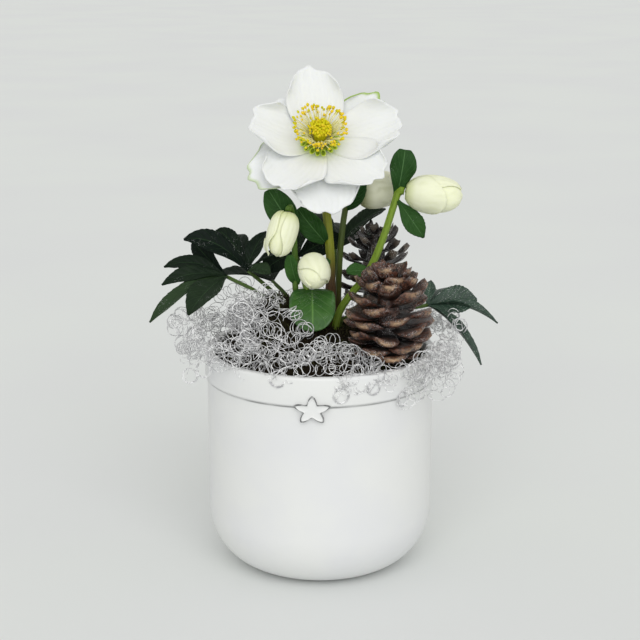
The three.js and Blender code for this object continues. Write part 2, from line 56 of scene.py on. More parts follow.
UV_NAME = "surface"
TONE_NAME = "tone"
PLAIN_TONE = 0.5
CLOSE = 1e-3  # millimetres within which points of one seam meet
UP = Vector((0, 0, 1))
UP_WAY = (0, 0, 1)
WHITE = (1.0, 1.0, 1.0, 1.0)
FULL_LEVEL = 255
TOE = 0.04045  # the display curve is straight below this level, and a power above it
TOE_SLOPE = 12.92
LIFT = 0.055
GAMMA = 2.4

Colour = tuple[float, float, float, float]
Triple = tuple[float, float, float]
Pair = tuple[float, float]
Numbers = tuple[float, ...]
Placer = Callable[[float, float], Vector]
Socket = bpy.types.NodeSocket

log = logging.getLogger("christmas_rose")


def tint(red: int, green: int, blue: int) -> Colour:
    """A colour as the eye names it, from 0 to 255, in the renderer's own linear scale.

    Args:
        red: how red it is.
        green: how green it is.
        blue: how blue it is.

    Returns:
        The colour with full cover.
    """

    def linear(level: float) -> float:
        """One channel without its display curve."""
        return level / TOE_SLOPE if level <= TOE else ((level + LIFT) / (1 + LIFT)) ** GAMMA

    return (*[linear(level / FULL_LEVEL) for level in (red, green, blue)], 1.0)


def clamp(value: float, low: float = 0.0, high: float = 1.0) -> float:
    """The value, kept between low and high."""
    return max(low, min(high, value))


def ease(low: float, high: float, value: float) -> float:
    """A smooth rise from 0 at low to 1 at high."""
    share = clamp((value - low) / (high - low))
    return share * share * (3 - 2 * share)


def polar(radius: float, turn: float, height: float = 0.0) -> Vector:
    """A place by its distance from the upright axis, its direction round it and its height."""
    return Vector((radius * cos(turn), radius * sin(turn), height))


def spin(turn: float, axis: str, size: int = 3) -> Matrix:
    """A turn about one axis, in radians, as a matrix of the given size."""
    return Matrix.Rotation(turn, size, axis)


def arched(start: Vector, top: Vector, end: Vector, t: float) -> Vector:
    """The place at t along an arch that leaves its start towards a top and comes to its end from there."""
    return start * (1 - t) ** 2 + top * 2 * t * (1 - t) + end * t * t


# ---------------- ways and shapes


class Path:
    """A smooth way through points, with a frame that goes along it without twisting."""

    STEPS = 24  # dense samples between two points
    LEAST_KNOT = 1e-4
    LEAST_SPAN = 1e-6
    UPRIGHT = 0.9  # a steeper start than this takes its first sideways direction from +Y

    def __init__(self, points: Sequence[Triple]) -> None:
        """Samples the way.

        Args:
            points: what it goes through, in millimetres.
        """
        self.dense = self._through([Vector(point) for point in points])
        self.reach = [0.0]
        for before, after in zip(self.dense, self.dense[1:]):
            self.reach.append(self.reach[-1] + (after - before).length)
        self.sides = self._carry()

    @property
    def length(self) -> float:
        """How long the way is."""
        return self.reach[-1]

    @classmethod
    def _through(cls, points: list[Vector]) -> list[Vector]:
        """Samples the centripetal curve through the points.

        Args:
            points: what it goes through.

        Returns:
            Dense samples from the first point to the last.
        """
        ends = [2 * points[0] - points[1], *points, 2 * points[-1] - points[-2]]
        dense: list[Vector] = []
        for a, b, c, d in zip(ends, ends[1:], ends[2:], ends[3:]):
            knots = [0.0]
            for first, second in ((a, b), (b, c), (c, d)):
                knots.append(knots[-1] + max(cls.LEAST_KNOT, sqrt((second - first).length)))
            for step in range(cls.STEPS):
                at = knots[1] + (knots[2] - knots[1]) * step / cls.STEPS
                dense.append(cls._blend((a, b, c, d), knots, at))
        return [*dense, points[-1].copy()]

    @staticmethod
    def _blend(points: Sequence[Vector], knots: Sequence[float], at: float) -> Vector:
        """Finds one point of the centripetal curve, by straight blends of straight blends.

        Args:
            points: the four points round the span.
            knots: where the curve passes each of them.
            at: where between the middle two the point is.

        Returns:
            The point.
        """

        def between(first: Vector, second: Vector, low: int, high: int) -> Vector:
            """The straight blend of two points over the span of two knots."""
            return first.lerp(second, (at - knots[low]) / (knots[high] - knots[low]))

        sides = [between(points[k], points[k + 1], k, k + 1) for k in range(3)]
        bends = [between(sides[k], sides[k + 1], k, k + 2) for k in range(2)]
        return between(bends[0], bends[1], 1, 2)

    def _carry(self) -> list[Vector]:
        """Carries a sideways direction along the way without twisting.

        Returns:
            The direction at each sample.
        """
        first = (self.dense[1] - self.dense[0]).normalized()
        side = first.cross(UP if abs(first.z) < self.UPRIGHT else Vector((0, 1, 0))).normalized()
        sides = []
        for index in range(len(self.dense)):
            along = self._along(index)
            side = (side - along * side.dot(along)).normalized()
            sides.append(side.copy())
        return sides

    def _along(self, index: int) -> Vector:
        """The direction at a sample."""
        before, after = self.dense[max(0, index - 1)], self.dense[min(len(self.dense) - 1, index + 1)]
        return (after - before).normalized()

    def at(self, share: float) -> tuple[Vector, Vector, Vector, Vector]:
        """The place and frame at a share of the length.

        Args:
            share: from 0 at the start to 1 at the end.

        Returns:
            The place, the direction along, and two directions square to it.
        """
        wanted = clamp(share) * self.length
        index = 0
        step = len(self.reach) // 2
        while step:
            while index + step < len(self.reach) - 1 and self.reach[index + step] <= wanted:
                index += step
            step //= 2
        span = max(self.LEAST_SPAN, self.reach[index + 1] - self.reach[index])
        place = self.dense[index].lerp(self.dense[index + 1], (wanted - self.reach[index]) / span)
        along = self._along(index)
        side = self.sides[index]
        return place, along, side, along.cross(side)


class Shape:
    """A mesh in the making, in millimetres.

    Its UV map holds, for each sheet, its number plus the share across it, and the share along it. Its tone is
    a number that a finish may read, such as how light a scale is.
    """

    def __init__(self) -> None:
        """Starts an empty mesh."""
        self.mesh = bmesh.new()
        self.surface = self.mesh.loops.layers.uv.new(UV_NAME)
        self.tone = self.mesh.verts.layers.float.new(TONE_NAME)
        self.sheets = 0

    def sheet(
        self, columns: int, rows: int, place: Placer, tone: float = PLAIN_TONE, wrapped: bool = False
    ) -> None:
        """Adds a grid whose points are moved to their places.

        Args:
            columns: faces across it.
            rows: faces along it.
            place: the place of a point, from its share across and its share along.
            tone: what the finish reads.
            wrapped: whether its two long sides meet, and its ends close where they have no width.
        """
        half = 0.5
        grid = bmesh.ops.create_grid(self.mesh, x_segments=columns, y_segments=rows, size=half)["verts"]
        for point in grid:
            for loop in point.link_loops:
                loop[self.surface].uv = (self.sheets + point.co.x + half, point.co.y + half)
        for point in grid:
            point.co = place(point.co.x + half, point.co.y + half)
            point[self.tone] = tone
        self.sheets += 1
        if wrapped:
            bmesh.ops.remove_doubles(self.mesh, verts=grid, dist=CLOSE)

    def turned(
        self,
        profile: Sequence[Pair],
        sides: int,
        tone: float = PLAIN_TONE,
        place: Callable[[float, float, float], Vector] = polar,
    ) -> None:
        """Adds a closed sheet whose rows follow a profile.

        Args:
            profile: two numbers for each row, such as a radius and a height.
            sides: faces round it.
            tone: what the finish reads.
            place: the place of a point, from its row's first number, its direction and the second number.
        """
        last = len(profile) - 1

        def at(s: float, t: float) -> Vector:
            """The place of a point of one row."""
            first, second = profile[round(t * last)]
            return place(first, WHOLE_TURN * s, second)

        self.sheet(sides, last, at, tone, wrapped=True)

    def rod(
        self,
        path: Path,
        radius: Callable[[float, float], float],
        sides: int,
        rows: int,
        tone: float = PLAIN_TONE,
    ) -> None:
        """Adds a closed round bar along a way.

        Args:
            path: the way.
            radius: its radius, from the share round it and the share along it.
            sides: faces round it.
            rows: faces along it, its two ends among them.
            tone: what the finish reads.
        """

        def place(s: float, t: float) -> Vector:
            """Places a point of the bar, whose first and last rows close its ends.

            Args:
                s: share round the bar.
                t: share along it.

            Returns:
                The point.
            """
            share = clamp((t * rows - 1) / (rows - 2))
            spot, _, side, lift = path.at(share)
            closed = t < 0.5 / rows or t > 1 - 0.5 / rows
            wide = 0.0 if closed else radius(s, share)
            return spot + wide * (cos(WHOLE_TURN * s) * side + sin(WHOLE_TURN * s) * lift)

        self.sheet(sides, rows, place, tone, wrapped=True)

    def take(self, other: "Shape") -> None:
        """Takes in another shape's mesh, which is then empty.

        Args:
            other: the shape.
        """
        parcel = bpy.data.meshes.new("parcel")
        other.mesh.to_mesh(parcel)
        other.mesh.free()
        self.mesh.from_mesh(parcel)
        bpy.data.meshes.remove(parcel)

    def bead(self, middle: Vector, size: Vector, turn: Matrix, tone: float) -> None:
        """Adds a small ball, drawn out to three half sizes.

        Args:
            middle: its middle.
            size: its half sizes along its own axes.
            turn: how it is turned.
            tone: what the finish reads.
        """
        for point in bmesh.ops.create_icosphere(self.mesh, subdivisions=1, radius=1.0)["verts"]:
            point.co = middle + turn @ (point.co * size)
            point[self.tone] = tone

    def finish(
        self,
        name: str,
        finish: "Finish",
        node: str,
        *,
        place: Matrix | None = None,
        thickness: float = 0.0,
    ) -> None:
        """Makes the mesh an object of the scene, dressed and riding on the body.

        Args:
            name: the piece's name.
            finish: what it is dressed in.
            node: the CAD node that it stands for.
            place: where it goes in the frame.
            thickness: of its wall, half to each side, where it is an open sheet. A closed mesh has none, and
                its faces are turned outwards.
        """
        bmesh.ops.transform(self.mesh, matrix=place or Matrix(), verts=self.mesh.verts)
        bmesh.ops.scale(self.mesh, vec=Vector((MM, MM, MM)), verts=self.mesh.verts)
        if not thickness:
            bmesh.ops.recalc_face_normals(self.mesh, faces=self.mesh.faces)
        for face in self.mesh.faces:
            face.smooth = True
        mesh = bpy.data.meshes.new(name)
        self.mesh.to_mesh(mesh)
        self.mesh.free()
        piece = show(name, mesh)
        if thickness:
            wall = piece.modifiers.new("Wall", "SOLIDIFY")
            wall.thickness = thickness * MM
            wall.offset = 0
        dress(piece, finish, node)


def show(name: str, data: bpy.types.ID) -> bpy.types.Object:
    """Puts a mesh, curve, lamp or camera into the scene as an object.

    Args:
        name: the object's name.
        data: what it shows.

    Returns:
        The object.
    """
    item = bpy.data.objects.new(name, data)
    bpy.context.scene.collection.objects.link(item)
    return item


def dress(piece: bpy.types.Object, finish: "Finish", node: str) -> None:
    """Gives a piece its finish and its place in the frame.

    Args:
        piece: the object.
        finish: what it is dressed in.
        node: the CAD node that it stands for.
    """
    piece.data.materials.clear()
    piece.data.materials.append(finish.material())
    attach(piece, BODY)
    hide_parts(node)
    log.info("%s: %d faces, for %s", piece.name, len(piece.data.polygons), node)


# ---------------- finishes


class Slot(Enum):
    """The record's material slots."""

    CERAMIC = "ceramic"
    SOIL = "soil"
    MOSS = "moss"
    LEAF = "leaf"
    STEM = "stem"
    SEPAL = "sepal"
    NECTARY = "nectary"
    STAMEN = "stamen"
    BUD = "bud"
    CONE = "cone"
    WIRE = "wire"


class Recipe:
    """The nodes of one procedural material, added one after another."""

    COLOUR_IN = (6, 7)
    COLOUR_OUT = 2
    SPECKS = 1500.0  # how finely a dusting is strewn

    def __init__(self, name: str) -> None:
        """Starts a material with its plain shader.

        Args:
            name: the material's name.
        """
        self.material = bpy.data.materials.new(name)
        self.material.use_nodes = True
        self.nodes = self.material.node_tree.nodes
        self.links = self.material.node_tree.links
        self.shader = self.nodes["Principled BSDF"]

    def feed(self, socket: Socket, value: object) -> None:
        """Links a socket to another, or sets its own value.

        Args:
            socket: what is fed.
            value: another socket, or a number, a colour or a row of numbers.
        """
        if isinstance(value, Socket):
            self.links.new(value, socket)
        else:
            socket.default_value = value

    def add(self, kind: str, *inputs: object, **settings: object) -> bpy.types.Node:
        """Adds a node.

        Args:
            kind: its type.
            inputs: what its first sockets take.
            settings: its own settings, and what other sockets take, by name.

        Returns:
            The node.
        """
        node = self.nodes.new(kind)
        for name, value in settings.items():
            if name in node.inputs:
                self.feed(node.inputs[name], value)
            else:
                setattr(node, name, value)
        for socket, value in zip(node.inputs, inputs):
            self.feed(socket, value)
        return node

    def spot(self) -> Socket:
        """The place on the object, in metres."""
        return self.add("ShaderNodeTexCoord").outputs["Object"]

    def tone(self) -> Socket:
        """The tone that the mesh carries."""
        return self.add("ShaderNodeAttribute", attribute_name=TONE_NAME).outputs["Fac"]

    def uv(self) -> tuple[Socket, Socket, Socket]:
        """Reads the piece's own map.

        Returns:
            The share across a sheet, the share along it, and the sheet's number.
        """
        both = self.add("ShaderNodeUVMap", uv_map=UV_NAME).outputs[0]
        split = self.add("ShaderNodeSeparateXYZ", both)
        across = split.outputs[0]
        return self.sum("FRACT", across), split.outputs[1], self.sum("FLOOR", across)

    def sum(self, operation: str, *values: object, clamped: bool = False) -> Socket:
        """The result of one sum on up to three numbers."""
        return self.add("ShaderNodeMath", *values, operation=operation, use_clamp=clamped).outputs[0]

    def plus(self, first: object, second: object, clamped: bool = False) -> Socket:
        """Two numbers added up."""
        return self.sum("ADD", first, second, clamped=clamped)

    def times(self, first: object, second: object, clamped: bool = False) -> Socket:
        """One number times another."""
        return self.sum("MULTIPLY", first, second, clamped=clamped)

    def scaled(self, value: Socket, factor: float, more: object) -> Socket:
        """A number times a factor, plus some more."""
        return self.sum("MULTIPLY_ADD", value, factor, more)

    def off(self, value: Socket, middle: float) -> Socket:
        """How far a number is from a middle, to either side."""
        return self.sum("ABSOLUTE", self.sum("SUBTRACT", value, middle))

    def edge(self, across: Socket) -> Socket:
        """How near a point is to a sheet's long edges: 0 along its middle and 1 at them."""
        return self.sum("ABSOLUTE", self.scaled(across, 2.0, -1.0))

    def ridge(self, run: Socket) -> Socket:
        """How near a number is to a half between two whole ones: 0 on it and a half at them."""
        return self.off(self.sum("FRACT", run), 0.5)

    def noise(self, spot: Socket, scale: float, detail: float = 2.0, roughness: float = 0.5) -> Socket:
        """A soft random pattern from 0 to 1."""
        kind = "ShaderNodeTexNoise"
        return self.add(kind, spot, Scale=scale, Detail=detail, Roughness=roughness).outputs[0]

    def cells(self, spot: Socket, scale: float) -> Socket:
        """How far a place is from the nearest of scattered points."""
        return self.add("ShaderNodeTexVoronoi", spot, Scale=scale).outputs["Distance"]

    def stretch(self, spot: Socket, scale: Triple) -> Socket:
        """The place, drawn out along its axes."""
        return self.add("ShaderNodeMapping", spot, Scale=scale).outputs[0]

    def span(self, value: Socket, *limits: float) -> Socket:
        """A number carried smoothly from one range into another, or from 0 to 1, and kept inside it."""
        return self.add("ShaderNodeMapRange", value, *limits, interpolation_type="SMOOTHSTEP").outputs[0]

    def patches(self, spot: Socket, pattern: Numbers, limits: Numbers) -> Socket:
        """A random pattern carried from one range into another."""
        return self.span(self.noise(spot, *pattern), *limits)

    def dusting(self, spot: Socket, size: Pair, pattern: Numbers, limits: Pair, cover: float) -> Socket:
        """Fine specks of the given size and strength, which lie in patches."""
        speck = self.span(self.cells(spot, self.SPECKS), *size, 1.0, 0.0)
        return self.times(self.times(speck, self.patches(spot, pattern, limits)), cover)

    def mix(self, share: object, first: object, second: object) -> Socket:
        """A colour between two.

        Args:
            share: how much it has of the second.
            first: the colour at 0.
            second: the colour at 1.

        Returns:
            The colour.
        """
        node = self.add("ShaderNodeMix", share, data_type="RGBA")
        for index, value in zip(self.COLOUR_IN, (first, second)):
            self.feed(node.inputs[index], value)
        return node.outputs[self.COLOUR_OUT]

    def bump(self, height: Socket, depth: float, strength: float = 1.0) -> None:
        """Raises the surface by up to a depth, in millimetres."""
        node = self.add("ShaderNodeBump", Strength=strength, Distance=depth * MM, Height=height)
        self.links.new(node.outputs[0], self.shader.inputs["Normal"])

    def wear(self, **sockets: object) -> None:
        """Sets the shader's sockets.

        Args:
            sockets: what each takes, by its name in lower case with _ for a blank.
        """
        for name, value in sockets.items():
            words = name.replace("_", " ")
            socket = next(s for s in self.shader.inputs if s.name.lower() == words)
            self.feed(socket, value)


@dataclass(frozen=True)
class Finish:
    """A surface that pieces are dressed in.

    Its numbers stand in rows. A pattern is a scale, a detail and perhaps a roughness. A range is where it
    starts and ends, and what that is carried into. A relief is a depth in millimetres and a strength.
    """

    name: str
    slot: Slot

    ROUGHNESS = 0.4
    SPECULAR = 0.35

    def material(self) -> bpy.types.Material:
        """Makes the material, once for all pieces that share the finish.

        Returns:
            The material.
        """
        made = bpy.data.materials.get(self.name)
        if made is None:
            recipe = Recipe(self.name)
            recipe.wear(roughness=self.ROUGHNESS, specular_ior_level=self.SPECULAR)
            recipe.wear(base_color=self.colour(recipe))
            made = recipe.material
        return made

    def colour(self, recipe: Recipe) -> Socket:
        """Adds the finish's own nodes, which may also change its gloss and relief, and gives its colour."""
        raise NotImplementedError


@dataclass(frozen=True)
class Glaze(Finish):
    """White satin glaze, faintly clouded, with a painted shadow line in the crease under the collar."""

    pale: Colour = tint(229, 230, 228)
    cloud: Colour = tint(225, 226, 227)
    # the colour of the painted shadow in the crease
    painted_shade: Colour = tint(106, 107, 108)
    crease: float = 0.1112  # height of the crease, in metres
    crease_width: float = 0.0009

    CLOUDS = ((22, 3), (0.35, 0.7))
    GLOSS = ((130, 2), (0.3, 0.7, 0.36, 0.46))
    SHADOW_BREAKS = ((40, 2), (0.3, 0.6, 0.35, 1.0))
    COVER = 0.8  # of the painted shadow
    PITS = (55, 2)
    PIT_RELIEF = (0.25, 0.35)

    def colour(self, recipe: Recipe) -> Socket:
        """Adds clouding, the soft unevenness of a dipped glaze and the painted shadow in the crease.

        Args:
            recipe: the material.

        Returns:
            Its colour.
        """
        spot = recipe.spot()
        colour = recipe.mix(recipe.patches(spot, *self.CLOUDS), self.pale, self.cloud)
        height = recipe.add("ShaderNodeSeparateXYZ", spot).outputs[2]
        # painted shadow line in the crease under the collar, broken up in patches
        line = recipe.span(recipe.off(height, self.crease), 0.0, self.crease_width, self.COVER, 0.0)
        colour = recipe.mix(recipe.times(line, recipe.patches(spot, *self.SHADOW_BREAKS)), colour, self.painted_shade)
        recipe.bump(recipe.noise(spot, *self.PITS), *self.PIT_RELIEF)
        recipe.wear(roughness=recipe.patches(spot, *self.GLOSS))
        return colour


@dataclass(frozen=True)
class StarGlaze(Finish):
    """The star's glaze, its edge darkened grey by painted shade and reflection."""

    pale: Colour = tint(229, 230, 229)
    # the colour of the painted shade and reflection on the star's edge
    painted_shade: Colour = tint(70, 71, 72)

    EDGE = (0.34, 0.5)  # how far out the painted shade begins, and where it is full
    UNEVEN = ((300, 2), (0.3, 0.6, 0.45, 1.0))
    PITS = (90, 2)
    PIT_RELIEF = (0.2, 0.3)
    ROUGHNESS = 0.4

    def colour(self, recipe: Recipe) -> Socket:
        """Adds the painted shade and reflection along the edge.

        Args:
            recipe: the material.

        Returns:
            Its colour.
        """
        _, out, _ = recipe.uv()
        spot = recipe.spot()
        # painted shade and reflection along the star's edge, uneven in patches
        edge = recipe.times(recipe.span(out, *self.EDGE), recipe.patches(spot, *self.UNEVEN))
        recipe.bump(recipe.noise(spot, *self.PITS), *self.PIT_RELIEF)
        colour = recipe.mix(edge, self.pale, self.painted_shade)
        return colour


@dataclass(frozen=True)
class Earth(Finish):
    """Dark crumbly potting soil."""

    dark: Colour = tint(32, 24, 18)
    light: Colour = tint(74, 58, 44)

    FINE = (420, 5, 0.7)
    COARSE = 260
    DEPTH = 1.2
    LIGHT = (0.35, 0.7)
    ROUGHNESS = 0.95
    SPECULAR = 0.1

    def colour(self, recipe: Recipe) -> Socket:
        """Adds crumbs in two sizes.

        Args:
            recipe: the material.

        Returns:
            Its colour.
        """
        spot = recipe.spot()
        crumbs = recipe.noise(spot, *self.FINE)
        recipe.bump(recipe.plus(crumbs, recipe.cells(spot, self.COARSE)), self.DEPTH)
        return recipe.mix(recipe.span(crumbs, *self.LIGHT), self.dark, self.light)


@dataclass(frozen=True)
class MossCoat(Finish):
    """Dried moss, brown outside and green in places, and dark within: partly its own colour, partly painted
    shade in its depths. Its tone says how light a strand is.
    """

    # partly the moss's own dark, partly painted shade in its depths
    dark: Colour = tint(26, 21, 14)
    brown: Colour = tint(66, 57, 40)
    green: Colour = tint(74, 80, 40)

    GREENS = ((60, 3), (0.42, 0.62))
    DEPTHS = (700, 3)
    LIGHT = (0.08, 0.5)
    FLUFF = (900, 4)
    DEPTH = 0.6
    ROUGHNESS = 0.95
    SPECULAR = 0.1

    def colour(self, recipe: Recipe) -> Socket:
        """Adds patches of green and the strands' own tones.

        Args:
            recipe: the material.

        Returns:
            Its colour.
        """
        spot = recipe.spot()
        tufts = recipe.mix(recipe.patches(spot, *self.GREENS), self.brown, self.green)
        # the low tone of the dome under the strands paints shade into the moss's depths
        light = recipe.times(recipe.tone(), recipe.noise(spot, *self.DEPTHS), clamped=True)
        recipe.bump(recipe.noise(spot, *self.FLUFF), self.DEPTH)
        return recipe.mix(recipe.span(light, *self.LIGHT), self.dark, tufts)


@dataclass(frozen=True)
class BladeCoat(Finish):
    """A leaf's skin, with its midrib, side veins and specks of frost. Its tone says how light a blade is."""

    dark: Colour = tint(13, 24, 18)
    light: Colour = tint(46, 64, 40)
    vein: Colour = tint(50, 72, 46)
    side_veins: float = 7.0  # pairs of side veins
    sweep: float = 1.6  # how far a side vein runs forward on its way to the edge
    frost: float = 0.35  # how thick the specks lie
    roughness: float = 0.45
    specular: float = 0.08

    MIDRIB = 0.07  # its half width, as a share of the blade's
    SIDE_VEIN = 0.12
    SIDE_STRENGTH = 0.3
    VEIN_COVER = 0.75
    MOTTLE = (170, 3)
    MOTTLE_LIGHT = (0.5, -0.35)  # how much lighter it makes the skin, and from where
    OWN_STEP = 0.618  # from one blade's own shade to the next one's, as a share of a round
    OWN_LIGHT = 0.2
    SPECK = (0.12, 0.2)
    FROST = (110, 2)
    FROST_FROM = (0.62, 0.22)  # where the patches begin without frost, and how much sooner with it
    FROST_TO = (0.75, 0.2)
    FROST_COVER = 0.8
    SUNK = -0.6  # how deep the veins lie
    RELIEF = (0.35, 0.8)

    def colour(self, recipe: Recipe) -> Socket:
        """Adds veins that follow the blade, mottling and specks.

        Args:
            recipe: the material.

        Returns:
            Its colour.
        """
        across, along, number = recipe.uv()
        edge = recipe.edge(across)
        spot = recipe.spot()
        midrib = recipe.span(edge, 0.0, self.MIDRIB, 1.0, 0.0)
        run = recipe.plus(along, recipe.times(edge, -self.sweep / self.side_veins))
        ridge = recipe.ridge(recipe.times(run, self.side_veins))
        veins = recipe.span(ridge, 0.0, self.SIDE_VEIN, 1.0, 0.0)
        mottle = recipe.noise(spot, *self.MOTTLE)
        own = recipe.times(recipe.sum("FRACT", recipe.times(number, self.OWN_STEP)), self.OWN_LIGHT)
        light = recipe.plus(recipe.scaled(mottle, *self.MOTTLE_LIGHT), own)
        skin = recipe.mix(recipe.plus(light, recipe.tone(), clamped=True), self.dark, self.light)
        lines = recipe.sum("MAXIMUM", midrib, recipe.times(veins, self.SIDE_STRENGTH))
        skin = recipe.mix(recipe.times(lines, self.VEIN_COVER), skin, self.vein)
        limits = [start - sooner * self.frost for start, sooner in (self.FROST_FROM, self.FROST_TO)]
        frost = recipe.dusting(spot, self.SPECK, self.FROST, limits, self.FROST_COVER)
        skin = recipe.mix(frost, skin, WHITE)
        recipe.bump(recipe.scaled(recipe.sum("MAXIMUM", veins, midrib), self.SUNK, mottle), *self.RELIEF)
        recipe.wear(roughness=self.roughness, specular_ior_level=self.specular)
        return skin


@dataclass(frozen=True)
class StemCoat(Finish):
    """A flower stem's skin, from its low end to its top."""

    low: Colour = tint(92, 66, 34)
    high: Colour = tint(82, 98, 30)
    change: Pair = (0.25, 0.6)  # where along it the colour goes over
    freckle: Colour = tint(30, 26, 12)

    GRAIN = (1.0, 1.0, 0.06)
    STRIPES = (1400, 2)
    STRIPE_DARK = (0.5, 0.75, 0.0, 0.5)
    FRECKLES = ((900, 3), (0.55, 0.7))
    DARKER = 0.55
    RIBS = 44.0
    DEPTH = 0.12
    ROUGHNESS = 0.45
    SPECULAR = 0.3

    def colour(self, recipe: Recipe) -> Socket:
        """Adds fine stripes along it and freckles low down.

        Args:
            recipe: the material.

        Returns:
            Its colour.
        """
        across, along, _ = recipe.uv()
        spot = recipe.spot()
        stripe = recipe.noise(recipe.stretch(spot, self.GRAIN), *self.STRIPES)
        share = recipe.span(along, *self.change)
        skin = recipe.mix(share, self.low, self.high)
        below = recipe.sum("SUBTRACT", 1.0, share)
        freckles = recipe.times(recipe.patches(spot, *self.FRECKLES), below, clamped=True)
        marks = recipe.sum("MAXIMUM", recipe.span(stripe, *self.STRIPE_DARK), freckles)
        colour = recipe.mix(marks, skin, recipe.mix(self.DARKER, skin, self.freckle))
        recipe.bump(recipe.plus(stripe, recipe.sum("SINE", recipe.times(across, self.RIBS))), self.DEPTH)
        return colour


@dataclass(frozen=True)
class PetalCoat(Finish):
    """A thin flower skin with fine veins that fan out and a soft glow within."""

    WANDER = (120, 3)
    VEINS = (11.0, 1.4)  # how many there are, and how far they wander
    VEIN = (0.0, 0.4, 1.0, 0.0)
    VEIN_PATCHES = (0.4, 0.9)
    VEIN_COVER = 0.35
    FOOT_START = 0.02
    FOOT_COVER = 0.85
    CREPE = (160, 4)
    RAISED = 0.4
    RELIEF = (0.5, 0.5)
    GLOW = 0.12
    GLOW_RADIUS = (1.0, 1.0, 0.7)
    GLOW_DEPTH = 0.002  # in metres

    def veined(self, recipe: Recipe, across: Socket, plain: Colour, vein: Colour) -> Socket:
        """Adds the veins, the crepe of the skin and its glow.

        Args:
            recipe: the material.
            across: the share across the sheet.
            plain: the colour between the veins.
            vein: the colour of the veins.

        Returns:
            The veined colour.
        """
        spot = recipe.spot()
        many, far = self.VEINS
        wander = recipe.times(recipe.noise(spot, *self.WANDER), far)
        line = recipe.span(recipe.ridge(recipe.scaled(across, many, wander)), *self.VEIN)
        veins = recipe.times(line, recipe.span(wander, *self.VEIN_PATCHES))
        recipe.bump(recipe.scaled(veins, self.RAISED, recipe.noise(spot, *self.CREPE)), *self.RELIEF)
        recipe.wear(subsurface_weight=self.GLOW, subsurface_radius=self.GLOW_RADIUS)
        recipe.wear(subsurface_scale=self.GLOW_DEPTH)
        return recipe.mix(recipe.times(veins, self.VEIN_COVER), plain, vein)

    def footed(self, recipe: Recipe, along: Socket, reach: float, skin: Socket, foot: Colour) -> Socket:
        """The skin with its foot in another colour, up to a reach."""
        return recipe.mix(recipe.span(along, self.FOOT_START, reach, self.FOOT_COVER, 0.0), skin, foot)


@dataclass(frozen=True)
class SepalCoat(PetalCoat):
    """A white sepal, greenish at its claw. Its tone says how green its edge is."""

    white: Colour = tint(235, 237, 236)
    claw: Colour = tint(228, 232, 186)
    green: Colour = tint(150, 184, 60)
    vein: Colour = tint(229, 232, 228)
    claw_reach: float = 0.34

    RIM = (0.93, 0.995)
    ROUGHNESS = 0.6
    SPECULAR = 0.2

    def colour(self, recipe: Recipe) -> Socket:
        """Adds the claw's tint, the veins and the green edge.

        Args:
            recipe: the material.

        Returns:
            Its colour.
        """
        across, along, _ = recipe.uv()
        skin = self.veined(recipe, across, self.white, self.vein)
        skin = self.footed(recipe, along, self.claw_reach, skin, self.claw)
        rim = recipe.span(recipe.sum("MAXIMUM", recipe.edge(across), along), *self.RIM)
        return recipe.mix(recipe.times(rim, recipe.tone(), clamped=True), skin, self.green)


@dataclass(frozen=True)
class BudCoat(PetalCoat):
    """A closed flower's ivory sepals, green at the base."""

    ivory: Colour = tint(240, 243, 210)
    # the veins' colour, and the painted shade along the sepals' edges
    shade: Colour = tint(214, 219, 172)
    base: Colour = tint(214, 222, 158)
    base_reach: float = 0.3

    WANDER = (130, 3)
    VEINS = (7.0, 1.6)
    VEIN = (0.0, 0.45, 1.0, 0.0)
    VEIN_PATCHES = (0.56, 1.04)
    VEIN_COVER = 0.3
    FOOT_START = 0.0
    # where the painted shade along a sepal's edges begins and is full, and how strong it is
    RIM = (0.88, 1.0, 0.0, 0.5)
    CREPE = (200, 3)
    RAISED = 0.3
    RELIEF = (0.3, 0.5)
    GLOW_RADIUS = (1.0, 1.0, 0.6)
    ROUGHNESS = 0.5
    SPECULAR = 0.25

    def colour(self, recipe: Recipe) -> Socket:
        """Adds the veins, painted shade along the sepals' edges and a green base.

        Args:
            recipe: the material.

        Returns:
            Its colour.
        """
        across, along, _ = recipe.uv()
        skin = self.veined(recipe, across, self.ivory, self.shade)
        # painted shade along the edges of each sepal
        skin = recipe.mix(recipe.span(recipe.edge(across), *self.RIM), skin, self.shade)
        return self.footed(recipe, along, self.base_reach, skin, self.base)


@dataclass(frozen=True)
class Nectar(Finish):
    """The green horns that hold the nectar, paler towards their lips."""

    deep: Colour = tint(150, 180, 14)
    lip: Colour = tint(200, 222, 70)
    # painted shade inside the horn's mouth
    throat: Colour = tint(128, 150, 20)

    LIP = (0.1, 0.62)
    THROAT = (0.72, 0.9)
    GRAIN = (900, 2)
    DEPTH = 0.1
    ROUGHNESS = 0.35
    SPECULAR = 0.4

    def colour(self, recipe: Recipe) -> Socket:
        """Adds the change from foot to lip, and the painted shade down the throat.

        Args:
            recipe: the material.

        Returns:
            Its colour.
        """
        _, along, _ = recipe.uv()
        outside = recipe.mix(recipe.span(along, *self.LIP), self.deep, self.lip)
        # the painted shade down the horn's throat
        colour = recipe.mix(recipe.span(along, *self.THROAT), outside, self.throat)
        recipe.bump(recipe.noise(recipe.spot(), *self.GRAIN), self.DEPTH)
        return colour


